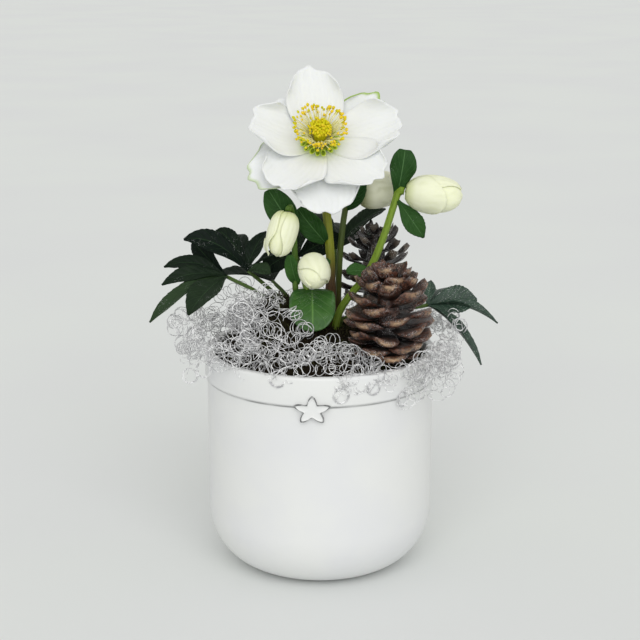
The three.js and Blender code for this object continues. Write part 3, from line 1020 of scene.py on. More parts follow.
@dataclass(frozen=True)
class Pollen(Finish):
    """Filaments and anthers. A tone under a third is a filament, and above it an anther."""

    filament: Colour = tint(250, 245, 186)
    young: Colour = tint(216, 212, 10)
    ripe: Colour = tint(248, 214, 50)
    shade: Colour = tint(140, 118, 4)

    ANTHER = (0.3, 0.36)
    RIPE = (0.4, 1.0)
    GRAIN = (2600, 2)
    GRAIN_DARK = (0.45, 0.75, 0.0, 0.45)
    DEPTH = 0.12
    ROUGHNESS = 0.6
    SPECULAR = 0.25

    def colour(self, recipe: Recipe) -> Socket:
        """Adds the tone's colour and a fine grain.

        Args:
            recipe: the material.

        Returns:
            Its colour.
        """
        tone = recipe.tone()
        grain = recipe.noise(recipe.spot(), *self.GRAIN)
        anther = recipe.mix(recipe.span(tone, *self.RIPE), self.young, self.ripe)
        anther = recipe.mix(recipe.span(grain, *self.GRAIN_DARK), anther, self.shade)
        colour = recipe.mix(recipe.span(tone, *self.ANTHER), self.filament, anther)
        recipe.bump(grain, self.DEPTH)
        return colour


@dataclass(frozen=True)
class Bark(Finish):
    """A cone's scales: dark within, brown above and tan along the rim, with a dusting of frost.

    Its tone says how light a scale's rim is.
    """

    dark: Colour = tint(17, 11, 10)
    brown: Colour = tint(106, 68, 52)
    rim: Colour = tint(192, 160, 124)
    rim_start: float = 0.88

    FIBRES = (620, 4, 0.65)
    FIBRE_BROWN = (0.35, 0.65)
    ROOT = (0.3, 0.64)
    RAGGED = 0.16  # how far the fibres move the rim's start
    RIM = (0.08, 0.2)  # where the rim begins and is full, past its start
    UNDER = (-0.8, 0.2, 1.0, 0.0)
    UNDER_LIGHT = (0.6, 0.3)  # how much more the under side shows of the rim, and how much the upper one
    OWN = (0.0, 1.0, 0.55, 1.0)
    SPECK = (0.18, 0.28)
    FROST = (120, 2)
    FROST_LIMITS = (0.4, 0.55)
    FROST_COVER = 0.75
    DEPTH = 0.5
    ROUGHNESS = 0.3
    SPECULAR = 0.5

    def colour(self, recipe: Recipe) -> Socket:
        """Adds the change from root to rim, fibres and frost.

        Args:
            recipe: the material.

        Returns:
            Its colour.
        """
        across, along, _ = recipe.uv()
        spot = recipe.spot()
        fibre = recipe.noise(spot, *self.FIBRES)
        wood = recipe.mix(recipe.span(fibre, *self.FIBRE_BROWN), self.dark, self.brown)
        skin = recipe.mix(recipe.span(along, *self.ROOT), self.dark, wood)
        limits = [self.rim_start + far for far in self.RIM]
        rim = recipe.span(recipe.scaled(fibre, self.RAGGED, along), *limits)
        under = recipe.span(recipe.sum("SINE", recipe.times(across, WHOLE_TURN)), *self.UNDER)
        rim = recipe.times(rim, recipe.scaled(under, *self.UNDER_LIGHT))
        skin = recipe.mix(recipe.times(rim, recipe.span(recipe.tone(), *self.OWN)), skin, self.rim)
        frost = recipe.dusting(spot, self.SPECK, self.FROST, self.FROST_LIMITS, self.FROST_COVER)
        skin = recipe.mix(frost, skin, WHITE)
        recipe.bump(fibre, self.DEPTH)
        return skin


@dataclass(frozen=True)
class Silver(Finish):
    """Bright drawn wire."""

    bright: Colour = tint(252, 252, 252)
    dull: Colour = tint(196, 196, 198)

    DULL = ((520, 2), (0.4, 0.6))
    ROUGH = ((900, 2), (0.3, 0.7, 0.25, 0.4))
    METALLIC = 0.5
    SPECULAR = 0.5

    def colour(self, recipe: Recipe) -> Socket:
        """Adds the light and dull stretches of handled wire.

        Args:
            recipe: the material.

        Returns:
            Its colour.
        """
        spot = recipe.spot()
        recipe.wear(roughness=recipe.patches(spot, *self.ROUGH), metallic=self.METALLIC)
        return recipe.mix(recipe.patches(spot, *self.DULL), self.bright, self.dull)


@dataclass(frozen=True)
class Paper(Finish):
    """The plain pale floor."""

    pale: Colour = tint(228, 231, 228)
    cloud: Colour = tint(226, 228, 227)

    GRAIN = ((3, 2), (0.3, 0.7))
    ROUGHNESS = 0.9
    SPECULAR = 0.1

    def colour(self, recipe: Recipe) -> Socket:
        """Adds a barely seen grain."""
        colour = recipe.mix(recipe.patches(recipe.spot(), *self.GRAIN), self.pale, self.cloud)
        return colour


GLAZE = Glaze("glaze", Slot.CERAMIC)
STAR_GLAZE = StarGlaze("star_glaze", Slot.CERAMIC)
EARTH = Earth("earth", Slot.SOIL)
MOSS_COAT = MossCoat("moss_coat", Slot.MOSS)
LEAF_COAT = BladeCoat("leaf_coat", Slot.LEAF)
FROSTED_LEAF_COAT = BladeCoat(
    "frosted_leaf_coat",
    Slot.LEAF,
    dark=tint(22, 44, 34),
    light=tint(72, 96, 80),
    vein=tint(150, 176, 150),
    frost=1.1,
    roughness=0.4,
    specular=0.3,
)
BRACT_COAT = BladeCoat(
    "bract_coat",
    Slot.LEAF,
    dark=tint(34, 66, 30),
    light=tint(66, 106, 48),
    vein=tint(96, 134, 84),
    side_veins=5.0,
    sweep=3.0,
    frost=0.0,
)
OVAL_COAT = BladeCoat(
    "oval_leaf_coat",
    Slot.LEAF,
    dark=tint(18, 62, 26),
    light=tint(92, 138, 62),
    vein=tint(104, 146, 74),
    side_veins=6.0,
    sweep=2.4,
    frost=0.4,
    roughness=0.3,
    specular=0.45,
)
STALK_COAT = StemCoat("stalk_coat", Slot.LEAF, tint(78, 88, 36), tint(72, 96, 40))
SEPAL_COAT = SepalCoat("sepal_coat", Slot.SEPAL)
NECTAR = Nectar("nectar", Slot.NECTARY)
POLLEN = Pollen("pollen", Slot.STAMEN)
BUD_COAT = BudCoat("bud_coat", Slot.BUD)
SHADED_BUD_COAT = BudCoat(
    "shaded_bud_coat", Slot.BUD, tint(238, 238, 212), tint(186, 188, 140), tint(150, 156, 96), 0.4
)
BARK = Bark("bark", Slot.CONE)
DARK_BARK = Bark("dark_bark", Slot.CONE, tint(18, 15, 15), tint(56, 46, 42), tint(104, 92, 80), 0.74)
SILVER = Silver("silver", Slot.WIRE)


# ---------------- the pot and its filling


@dataclass
class Pot:
    """A white glazed pot with a rounded foot, a proud collar and a raised star on its front."""

    radius: float = 65
    height: float = 128
    foot_radius: float = 36
    shoulder: float = 34
    wall: float = 3.5
    floor: float = 5
    collar_proud: float = 1.3
    collar_height: float = 16
    lip: float = 1.5
    star_radius: float = 8.8
    star_stretch: float = 1.25
    star_proud: float = 2.4
    star_height: float = 110
    star_offset: float = -4.2
    star_sides: int = 160
    turns: int = 144  # faces round the pot

    HOLLOW = 0.8  # how deep it is hollowed under its foot
    HOLLOW_FLAT = 8.0  # from the foot's radius to where the hollow's flat ends
    HOLLOW_EDGE = 6.5
    FOOT_ROUND = 1.6
    CREASE_ROUND = 0.9
    WALL_ROWS = (0.35, 0.7)
    TIPS = 5
    WAIST = 0.46  # of the star between two tips, as a share of its radius
    SWELL = -0.55  # how slim its arms are
    BLUNT = 0.12  # how much its tips are rounded off
    BLUNTNESS = 6
    # how far out each of the star's rings is, and how proud of the wall
    STAR_RINGS = (
        *((0.0, 0.74), (0.3, 0.74), (0.6, 0.76), (0.76, 0.8), (0.84, 0.95), (0.9, 1.0), (0.95, 0.98)),
        *((0.985, 0.86), (1.0, 0.6), (1.0, 0.25), (1.03, -0.1), (1.03, -0.6)),
    )

    def build(self) -> None:
        """Builds the body and the star."""
        self.body()
        self.star()

    @staticmethod
    def arc(middle: Pair, size: Pair, start: float, end: float, steps: int) -> list[Pair]:
        """Points in even steps along a part of an ellipse, from one angle to another in degrees."""
        angles = [radians(start + (end - start) * step / steps) for step in range(steps + 1)]
        return [(middle[0] + size[0] * cos(a), middle[1] + size[1] * sin(a)) for a in angles]

    def profile(self) -> list[Pair]:
        """Lays out the pot's section.

        Returns:
            Its points from the middle of the foot, up the outside and down the inside. Each arc is given with
            its two angles, in degrees, and its steps.
        """
        foot, bottom, outer = self.foot_radius, self.shoulder, self.radius
        inner, inside = outer - self.wall, foot - self.wall
        proud, lip, hollow, rounded = self.collar_proud, self.lip, self.HOLLOW, self.FOOT_ROUND
        low = self.height - self.collar_height
        high = self.height - lip
        crease = self.CREASE_ROUND
        return [
            (0, hollow),
            (foot - self.HOLLOW_FLAT, hollow),
            *self.arc((foot - self.HOLLOW_EDGE, hollow), (hollow, hollow), 180, 270, 3),
            *self.arc((foot - hollow, rounded), (rounded, rounded), 270, 292, 2),
            *self.arc((foot, bottom), (outer - foot, bottom), 274, 360, 22),
            *[(outer, row * (bottom + low)) for row in self.WALL_ROWS],
            *self.arc((outer + proud, low - proud), (proud, proud), 180, 100, 4),
            *self.arc((outer + proud - crease, low + crease), (crease, crease), 290, 360, 4),
            *self.arc((outer + proud - lip, high), (lip, lip), 0, 90, 5),
            *self.arc((inner + lip, high), (lip, lip), 90, 180, 5),
            (inner, 0.5 * (self.height + bottom)),
            *self.arc((inside, bottom), (inner - foot + self.wall, bottom - self.floor), 0, -90, 14),
            (0, self.floor),
        ]

    def body(self) -> None:
        """Turns the section round the upright axis."""
        shape = Shape()
        chain = [shape.mesh.verts.new((r, 0, z)) for r, z in self.profile()]
        edges = [shape.mesh.edges.new(pair) for pair in zip(chain, chain[1:])]
        bmesh.ops.spin(
            shape.mesh,
            geom=[*chain, *edges],
            cent=(0, 0, 0),
            axis=UP,
            angle=WHOLE_TURN,
            steps=self.turns,
            use_merge=True,
            use_duplicate=False,
        )
        bmesh.ops.remove_doubles(shape.mesh, verts=shape.mesh.verts, dist=CLOSE)
        shape.finish("pot_body", GLAZE, "pot")

    def outline(self, turn: float) -> float:
        """Draws the star's edge.

        Args:
            turn: the direction from its middle, in radians.

        Returns:
            How far off the edge is, as a share of the star's radius.
        """
        arm = (turn - QUARTER_TURN) / (WHOLE_TURN / self.TIPS)
        off = abs((arm + 0.5) % 1 - 0.5) * 2  # 0 at a tip, 1 between two tips
        slim = (1 - ease(self.SWELL, 1.0, off)) / (1 - ease(self.SWELL, 1.0, 0.0))
        return self.WAIST + (1 - self.WAIST) * slim * (1 - self.BLUNT * (1 - off) ** self.BLUNTNESS)

    def star(self) -> None:
        """Raises a star with rounded edges and a slightly sunk face, bent round the wall."""

        def place(out: float, turn: float, proud: float) -> Vector:
            """Places a point of the star, first flat and then bent round the pot.

            Args:
                out: share of the way to the star's edge.
                turn: the direction from its middle, in radians.
                proud: how much of its relief it stands out.

            Returns:
                The point.
            """
            reach = self.star_radius * self.outline(turn) * out
            across = self.star_offset + self.star_stretch * reach * cos(turn)
            up = self.star_height + reach * sin(turn)
            stand = self.radius + self.star_proud * proud
            bend = across / self.radius
            return Vector((stand * sin(bend), -stand * cos(bend), up))

        shape = Shape()
        shape.turned(self.STAR_RINGS, self.star_sides, place=place)
        shape.finish("pot_star", STAR_GLAZE, "pot")


@dataclass
class Moss:
    """A dome of moss over the soil, with strands that stand out of it."""

    edge: float = 121
    dome: float = 18
    mound: Triple = (-27, -8, 24)  # middle and height of a heap on the left
    mound_radius: float = 20
    mound_edge: float = 50  # how far out it begins to run down to the rim
    tuft: float = 1.3
    inner_radius: float = 61.5
    fill_radius: float = 60.6
    faces: tuple[int, int] = (120, 40)  # round it and out from its middle
    strands: int = 2600
    batch: int = 50
    strand_length: float = 6.0
    seed: int = 5

    ROUNDNESS = 2.6  # of the dome: flat in the middle and steep at the edge
    TUFTS_ROUND = (5, 3)
    TUFTS_OUT = (7, 5)
    SMOOTH_MIDDLE = 20
    LUMPS = ((1.6, 6, 0.3), (0.8, 2, 4.1))  # height, size and layer of each sort of lump
    FIRM_EDGE = 8  # how suddenly the lumps end at the edge
    # the dome under the strands is painted dark, as shade in the moss's depths
    SHADED_DOME_TONE = 0.3
    SUNK = 1  # how deep a strand is rooted
    STEEP = 0.9
    BOW = 1.4
    BOW_SAG = -0.2
    SHORTER = (0.5, 1.0)  # how much shorter than the longest a strand may be
    LIGHTER = (0.5, 1.0)
    STRAND_RADIUS = 0.32
    STRAND_FACES = (3, 4)

    def height(self, x: float, y: float) -> float:
        """Finds the height of the dome with its tufts and its heap.

        Args:
            x: the place from left to right.
            y: the place from front to back.

        Returns:
            The height there.
        """
        r = hypot(x, y)
        turn = atan2(y, x)
        dome = self.edge + self.dome * (1 - min(1.0, r / self.inner_radius) ** self.ROUNDNESS)
        off = hypot(x - self.mound[0], y - self.mound[1]) / self.mound_radius
        heap = self.mound[2] * exp(-(off**2))
        (first, second), (near, far) = self.TUFTS_ROUND, self.TUFTS_OUT
        waves = self.tuft * sin(first * turn + r / near) * sin(second * turn - r / far)
        tufts = waves * min(1.0, r / self.SMOOTH_MIDDLE)
        return dome + tufts + heap * (1 - ease(self.mound_edge, self.fill_radius, r))

    def build(self) -> None:
        """Builds the dome with its strands, and dresses the soil under it."""
        self.cushion()
        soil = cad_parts["soil"]
        soil.data.materials.clear()
        soil.data.materials.append(EARTH.material())

    def cushion(self) -> None:
        """Builds the dome, roughened, and the strands on it."""
        rng = random.Random(self.seed)
        shape = Shape()

        def place(s: float, t: float) -> Vector:
            """Places a point of the dome, lumpy at two scales.

            Args:
                s: share round the dome.
                t: share of the way to its edge.

            Returns:
                The point.
            """
            r = self.fill_radius * t
            x, y = r * cos(WHOLE_TURN * s), r * sin(WHOLE_TURN * s)
            lump = 0.0
            for high, size, layer in self.LUMPS:
                lump += high * noise.noise(Vector((x / size, y / size, layer)))
            return Vector((x, y, self.height(x, y) + lump * (1 - t**self.FIRM_EDGE)))

        shape.sheet(*self.faces, place, self.SHADED_DOME_TONE, wrapped=True)
        for _ in range(self.strands // self.batch):
            shape.take(self.tuft_of_strands(rng))
        shape.finish("moss_cushion", MOSS_COAT, "moss")

    def tuft_of_strands(self, rng: random.Random) -> Shape:
        """Builds one batch of strands that stand out of the dome in their own directions.

        Args:
            rng: the moss's random draw.

        Returns:
            The strands.
        """
        shape = Shape()
        for _ in range(self.batch):
            r = self.fill_radius * sqrt(rng.random())
            turn = WHOLE_TURN * rng.random()
            x, y = r * cos(turn), r * sin(turn)
            foot = Vector((x, y, self.height(x, y) - self.SUNK))
            way = Vector((rng.gauss(0, 1), rng.gauss(0, 1), self.STEEP + rng.random())).normalized()
            bow = Vector((rng.gauss(0, 1), rng.gauss(0, 1), self.BOW_SAG)) * self.BOW
            tip = foot + way * self.strand_length * rng.uniform(*self.SHORTER)
            if hypot(tip.x, tip.y) > self.fill_radius:
                continue
            self.strand(shape, foot, foot.lerp(tip, 0.5) + bow, tip, rng.uniform(*self.LIGHTER))
        return shape

    def strand(self, shape: Shape, foot: Vector, bow: Vector, tip: Vector, tone: float) -> None:
        """Adds one short strand of moss, a blade of three sides.

        Args:
            shape: what it is added to.
            foot: where it grows.
            bow: the way that it bows.
            tip: where it ends.
            tone: how light it is.
        """

        def place(s: float, t: float) -> Vector:
            """A point round the strand, which is pointed at both ends."""
            wide = self.STRAND_RADIUS * sin(pi * t) ** 0.5 if 0 < t < 1 else 0.0
            return arched(foot, bow, tip, t) + wide * polar(1.0, WHOLE_TURN * s)

        shape.sheet(*self.STRAND_FACES, place, tone, wrapped=True)


# ---------------- leaves


class Outline(Enum):
    """The outlines that a blade may have.

    All but the round one are a part of a sine's wave: where it starts, how much of it there is, how far its
    widest place moves towards the tip, and how full it is.
    """

    LEAFLET = (0.04, 0.94, 1.4, 1.0)
    BRACT = (0.05, 0.9, 1.0, 0.65)
    BROAD = (0.05, 0.87, 1.6, 0.6)  # a bract that is widest towards its tip
    ROUND = (2.8, 0.45)  # with broad ends


@dataclass(frozen=True)
class Blade:
    """One blade from its base to its tip, whose halves rise from its midrib."""

    base: Triple
    tip: Triple
    width: float
    arch: float = 1.0
    lift: Triple = (0, 0, 1)  # the way that its upper face looks
    fold: float = 18.0
    bow: Triple | None = None  # the way that it arches, if not that of its face
    outline: Outline = Outline.LEAFLET
    wave: float = 0.7  # how far its edge goes up and down
    tone: float = 0.35
    phase: float = 0.0

    TEETH = 13
    TOOTH = 0.07
    TOOTHED = (0.4, 0.6)  # where the teeth begin, and where they are full
    FULL = 1.04
    NARROWEST = 0.35
    FACES = (12, 44)  # across and along
    LOOK = 0.01  # how far ahead and back its direction is read
    QUILT = 0.28  # how far it swells between side veins
    QUILT_PAIRS = 7.0
    QUILT_SWEEP = 1.6
    WAVES = 1.7  # of its edge, from base to tip
    WAVE_LAG = 1.3  # how far the waves of its two edges are apart

    def share(self, t: float) -> float:
        """Finds how wide it is.

        Args:
            t: the share along it.

        Returns:
            The share of its full width.
        """
        if self.outline is Outline.ROUND:
            square, full = self.outline.value
            return max(0.0, 1 - abs(2 * t - 1) ** square) ** full
        start, run, lean, full = self.outline.value
        wide = sin(pi * (start + run * t**lean)) ** full
        if self.outline is not Outline.LEAFLET:
            return wide
        tooth = (t * self.TEETH) % 1
        return wide * (self.FULL - ease(*self.TOOTHED, t) * self.TOOTH * (1 - tooth))

    def spine(self, t: float) -> Vector:
        """Follows the midrib, an arch towards the lift.

        Args:
            t: share of the way to the tip.

        Returns:
            The point of the midrib.
        """
        start, end = Vector(self.base), Vector(self.tip)
        top = start.lerp(end, 0.5) + 2 * self.arch * Vector(self.bow or self.lift).normalized()
        return arched(start, top, end, t)

    def place(self, s: float, t: float) -> Vector:
        """Places a point of the blade.

        Args:
            s: its share across.
            t: its share along.

        Returns:
            The place.
        """
        ahead, behind = self.spine(min(1.0, t + self.LOOK)), self.spine(max(0.0, t - self.LOOK))
        along = (ahead - behind).normalized()
        sideways = along.cross(Vector(self.lift).normalized()).normalized()
        normal = sideways.cross(along)
        across = 2 * s - 1
        half = across * max(self.NARROWEST, self.share(t) * self.width / 2)
        fold = radians(self.fold)
        run = t * self.QUILT_PAIRS - self.QUILT_SWEEP * abs(across)
        quilt = self.QUILT * cos(WHOLE_TURN * run) * abs(across) * (1 - abs(across)) * 3
        swing = WHOLE_TURN * (self.WAVES * t + self.phase) + self.WAVE_LAG * across
        ripple = self.wave * across * across * sin(swing)
        rise = abs(half) * sin(fold) + quilt + ripple * sin(pi * clamp(t))
        return self.spine(t) + sideways * half * cos(fold) + normal * rise

    def add(self, shape: Shape) -> None:
        """Adds the blade to a shape."""
        shape.sheet(*self.FACES, self.place, self.tone)


@dataclass(frozen=True)
class Leaflet:
    """One finger of a leaf, from the leaf's palm to its tip."""

    tip: Triple
    width: float
    arch: float
    lift: Triple = (0, 0, 1)
    bow: Triple | None = None
    fold: float = 18.0
    tone: float = 0.3

    def blade(self, base: Triple, phase: float) -> Blade:
        """The blade that it is, growing from a palm."""
        form = (base, self.tip, self.width, self.arch, self.lift, self.fold, self.bow)
        return Blade(*form, tone=self.tone, phase=phase)


ROOT_DEPTH = 106.0  # height of the stems' lower ends, in the soil
ROOT_TOP = 121.0  # height up to which they are upright
BLADE_WALL = 0.55


def stem_way(root: Pair, points: Sequence[Triple]) -> Path:
    """The way of a stem or stalk: upright in the soil, then through its own points."""
    return Path([(*root, ROOT_DEPTH), (*root, ROOT_TOP), *points])


@dataclass(frozen=True)
class Leaf:
    """A stalk that ends in a palm of fingers."""

    name: str
    root: Pair
    stalk: tuple[Triple, ...]
    leaflets: tuple[Leaflet, ...]
    finish: BladeCoat = LEAF_COAT

    THICK = 1.5
    TAPER = (1.08, 0.25)  # its radius at the foot, and how much less it is at the palm
    GROOVE = 0.12
    FACES = (8, 26)
    PHASE_STEP = 0.37  # from one finger's waves to the next one's

    def build(self) -> None:
        """Builds the stalk and the fingers."""
        stalk = Shape()
        stalk.rod(stem_way(self.root, self.stalk), self.stalk_radius, *self.FACES)
        stalk.finish(f"{self.name}_stalk", STALK_COAT, self.name)
        blades = Shape()
        for number, leaflet in enumerate(self.leaflets):
            leaflet.blade(self.stalk[-1], self.PHASE_STEP * number).add(blades)
        blades.finish(f"{self.name}_blades", self.finish, self.name, thickness=BLADE_WALL)

    def stalk_radius(self, s: float, t: float) -> float:
        """The stalk's radius, a little less towards the palm and grooved above."""
        foot, less = self.TAPER
        return self.THICK * (foot - less * t) * (1 - self.GROOVE * cos(WHOLE_TURN * s) ** 4)


LEAVES = (
    Leaf(
        "leaf_left_low", (-13, -5),
        ((-16, -6, 146), (-34, -6, 160), (-53, -2, 169)),
        (
            Leaflet((-89, -12, 166.5), 11, 4, (0, -0.6, 0.8), UP_WAY, tone=0.34),
            Leaflet((-89, 3, 173.5), 9.5, 5, (0, -0.7, 0.7), UP_WAY, tone=0.12),
            Leaflet((-73, 12, 187), 11, 3, (-0.5, -0.7, 0.5), (-0.8, 0, 0.6), tone=0.05),
            Leaflet((-72, -39, 156), 17.5, 3, (-0.1, -0.5, 0.85), UP_WAY, tone=0.35),
            Leaflet((-94, -32, 150), 12, 6, (0, -0.2, 1), UP_WAY, tone=1.0),
        ),
    ),
    Leaf(
        "leaf_left_high", (-13, 4),
        ((-17, 3, 148), (-29, 2, 161), (-41, 0, 172)),
        (
            Leaflet((-77, -2, 190.5), 13, 6.5, (-0.2, -0.75, 0.6), UP_WAY, tone=0.04),
            Leaflet((-60, 16, 192), 11, 5, (0, -0.8, 0.6), UP_WAY, tone=0.1),
            Leaflet((-31, 11, 192.5), 11, 3, (-0.5, -0.8, 0.3), tone=0.2),
            Leaflet((-28, -9, 172), 10, 2, (0, -0.6, 0.8), UP_WAY, tone=0.75),
            Leaflet((-20, 4, 182), 9, 2, tone=0.2),
            Leaflet((-50, 32, 186), 10, 5, tone=0.2),
        ),
    ),
    Leaf(
        "leaf_right", (11, 1),
        ((12.5, -1, 143), (30, -2, 147), (47, 1, 149), (62, 7, 150)),
        (
            Leaflet((90.5, 6, 153.5), 19, 0.5, (0, -0.75, 0.65), UP_WAY, tone=0.45),
            Leaflet((102, 0, 141), 9, 5, (0, -0.2, 1), UP_WAY, 52, 0.35),
            Leaflet((91, -20, 122), 10, 5, (0.3, -0.2, 1), UP_WAY, 48, 0.35),
            Leaflet((65, 22, 161), 7, 1, (0, -0.7, 0.7), tone=0.4),
            Leaflet((72, 40, 150), 14, 4, tone=0.3),
        ),
        FROSTED_LEAF_COAT,
    ),
    Leaf(
        "leaf_back_right", (6, 14),
        ((7, 18, 150), (8, 24, 164), (9, 30, 178)),
        (
            Leaflet((39, 47, 199), 13, 4, (0, -0.3, 1), UP_WAY, tone=0.4),
            Leaflet((46, 62, 176), 15, 5),
            Leaflet((16, 70, 184), 15, 5),
            Leaflet((-5, 58, 194), 13, 4),
        ),
    ),
    Leaf(
        "leaf_back", (-5, 13),
        ((-7, 14, 150), (-10, 15, 164), (-13, 16, 177)),
        (
            Leaflet((11, 17, 190), 15, 2, (0, -1, 0.3), tone=0.2),
            Leaflet((-33, 12, 168), 15, 3, (0, -0.8, 0.6), UP_WAY, tone=0.15),
            Leaflet((-26, 46, 190), 14, 4),
            Leaflet((-10, 44, 196), 12, 3),
        ),
    ),
    Leaf(
        "leaf_back_left", (-9, 9),
        ((-12, 12, 142), (-20, 20, 153), (-28, 29, 159)),
        (
            Leaflet((-70, 36, 158), 15, 4),
            Leaflet((-56, 62, 156), 15, 5),
            Leaflet((-24, 70, 158), 15, 5),
        ),
    ),
)


# ---------------- the open bloom


@dataclass(frozen=True)
class Sepal:
    """One sepal of the open bloom, whose face looks along +Z."""

    direction: float  # clockwise from the top, in degrees
    length: float
    width: float
    cup: float
    lean: float = 5.0
    drop: float = 0.0
    green: float = 0.0  # how green its edge is

    FACES = (22, 26)
    CLAW = (0.1, 0.76, 0.9)  # its width at the foot, where it is widest, and how full it is up to there
    TIP_FROM = 0.66
    TIP_LESS = 0.2  # how much narrower it ends
    BLUNT = 0.3
    SQUARE = 3.4
    SEED_STEP = 0.07
    NOTCH = (0.08, 3.1, 2.0)  # depth, how close together and layer of the dents in its edge
    NOTCHED = (0.6, 1.0)
    RUFFLE = (1.3, 2.3, 2.2)  # height of its waves, and how close together across and along
    RUFFLED = (0.3, 1.0)
    CREASE = (-0.5, 0.12)  # depth and half width of its middle crease
    HOLLOW = 0.16

    def share(self, t: float) -> float:
        """Finds how wide it is: broad and blunt, on a short claw.

        Args:
            t: the share along it.

        Returns:
            The share of its full width.
        """
        foot, widest, full = self.CLAW
        claw = sin(pi / 2 * min(1.0, (t + foot) / widest)) ** full
        return claw * (1 - self.TIP_LESS * max(0.0, (t - self.TIP_FROM) / (1 - self.TIP_FROM)) ** 2)

    def place(self, s: float, t: float) -> Vector:
        """Places a point of the sepal.

        Args:
            s: its share across.
            t: its share along.

        Returns:
            The place.
        """
        turn = radians(self.direction)
        out = Vector((sin(turn), cos(turn), 0))
        side = Matrix.Rotation(radians(self.lean), 3, out) @ Vector((out.y, -out.x, 0))
        across = 2 * s - 1
        half = self.share(t) * self.width / 2
        cup = radians(self.cup)
        reach, climb = self.length * cos(cup), self.length * sin(cup)
        seed = self.direction * self.SEED_STEP
        deep, often, layer = self.NOTCH
        notch = deep * noise.noise(Vector((often * across, seed, layer)))
        blunt = 1 - self.BLUNT * abs(across) ** self.SQUARE * t + notch * ease(*self.NOTCHED, t)
        high, over, up = self.RUFFLE
        ruffle = high * noise.noise(Vector((over * across, up * t, seed)))
        sunk, narrow = self.CREASE
        crease = sunk * exp(-((across / narrow) ** 2)) * sin(pi * t)
        hollow = self.HOLLOW * half * t * across * across
        z = climb * t * t - self.drop + hollow + ruffle * ease(*self.RUFFLED, max(abs(across), t)) + crease
        spot = out * (1 + (reach - 1) * t * blunt)
        return Vector((spot.x, spot.y, z)) + side * across * half * (1 + notch / 2)


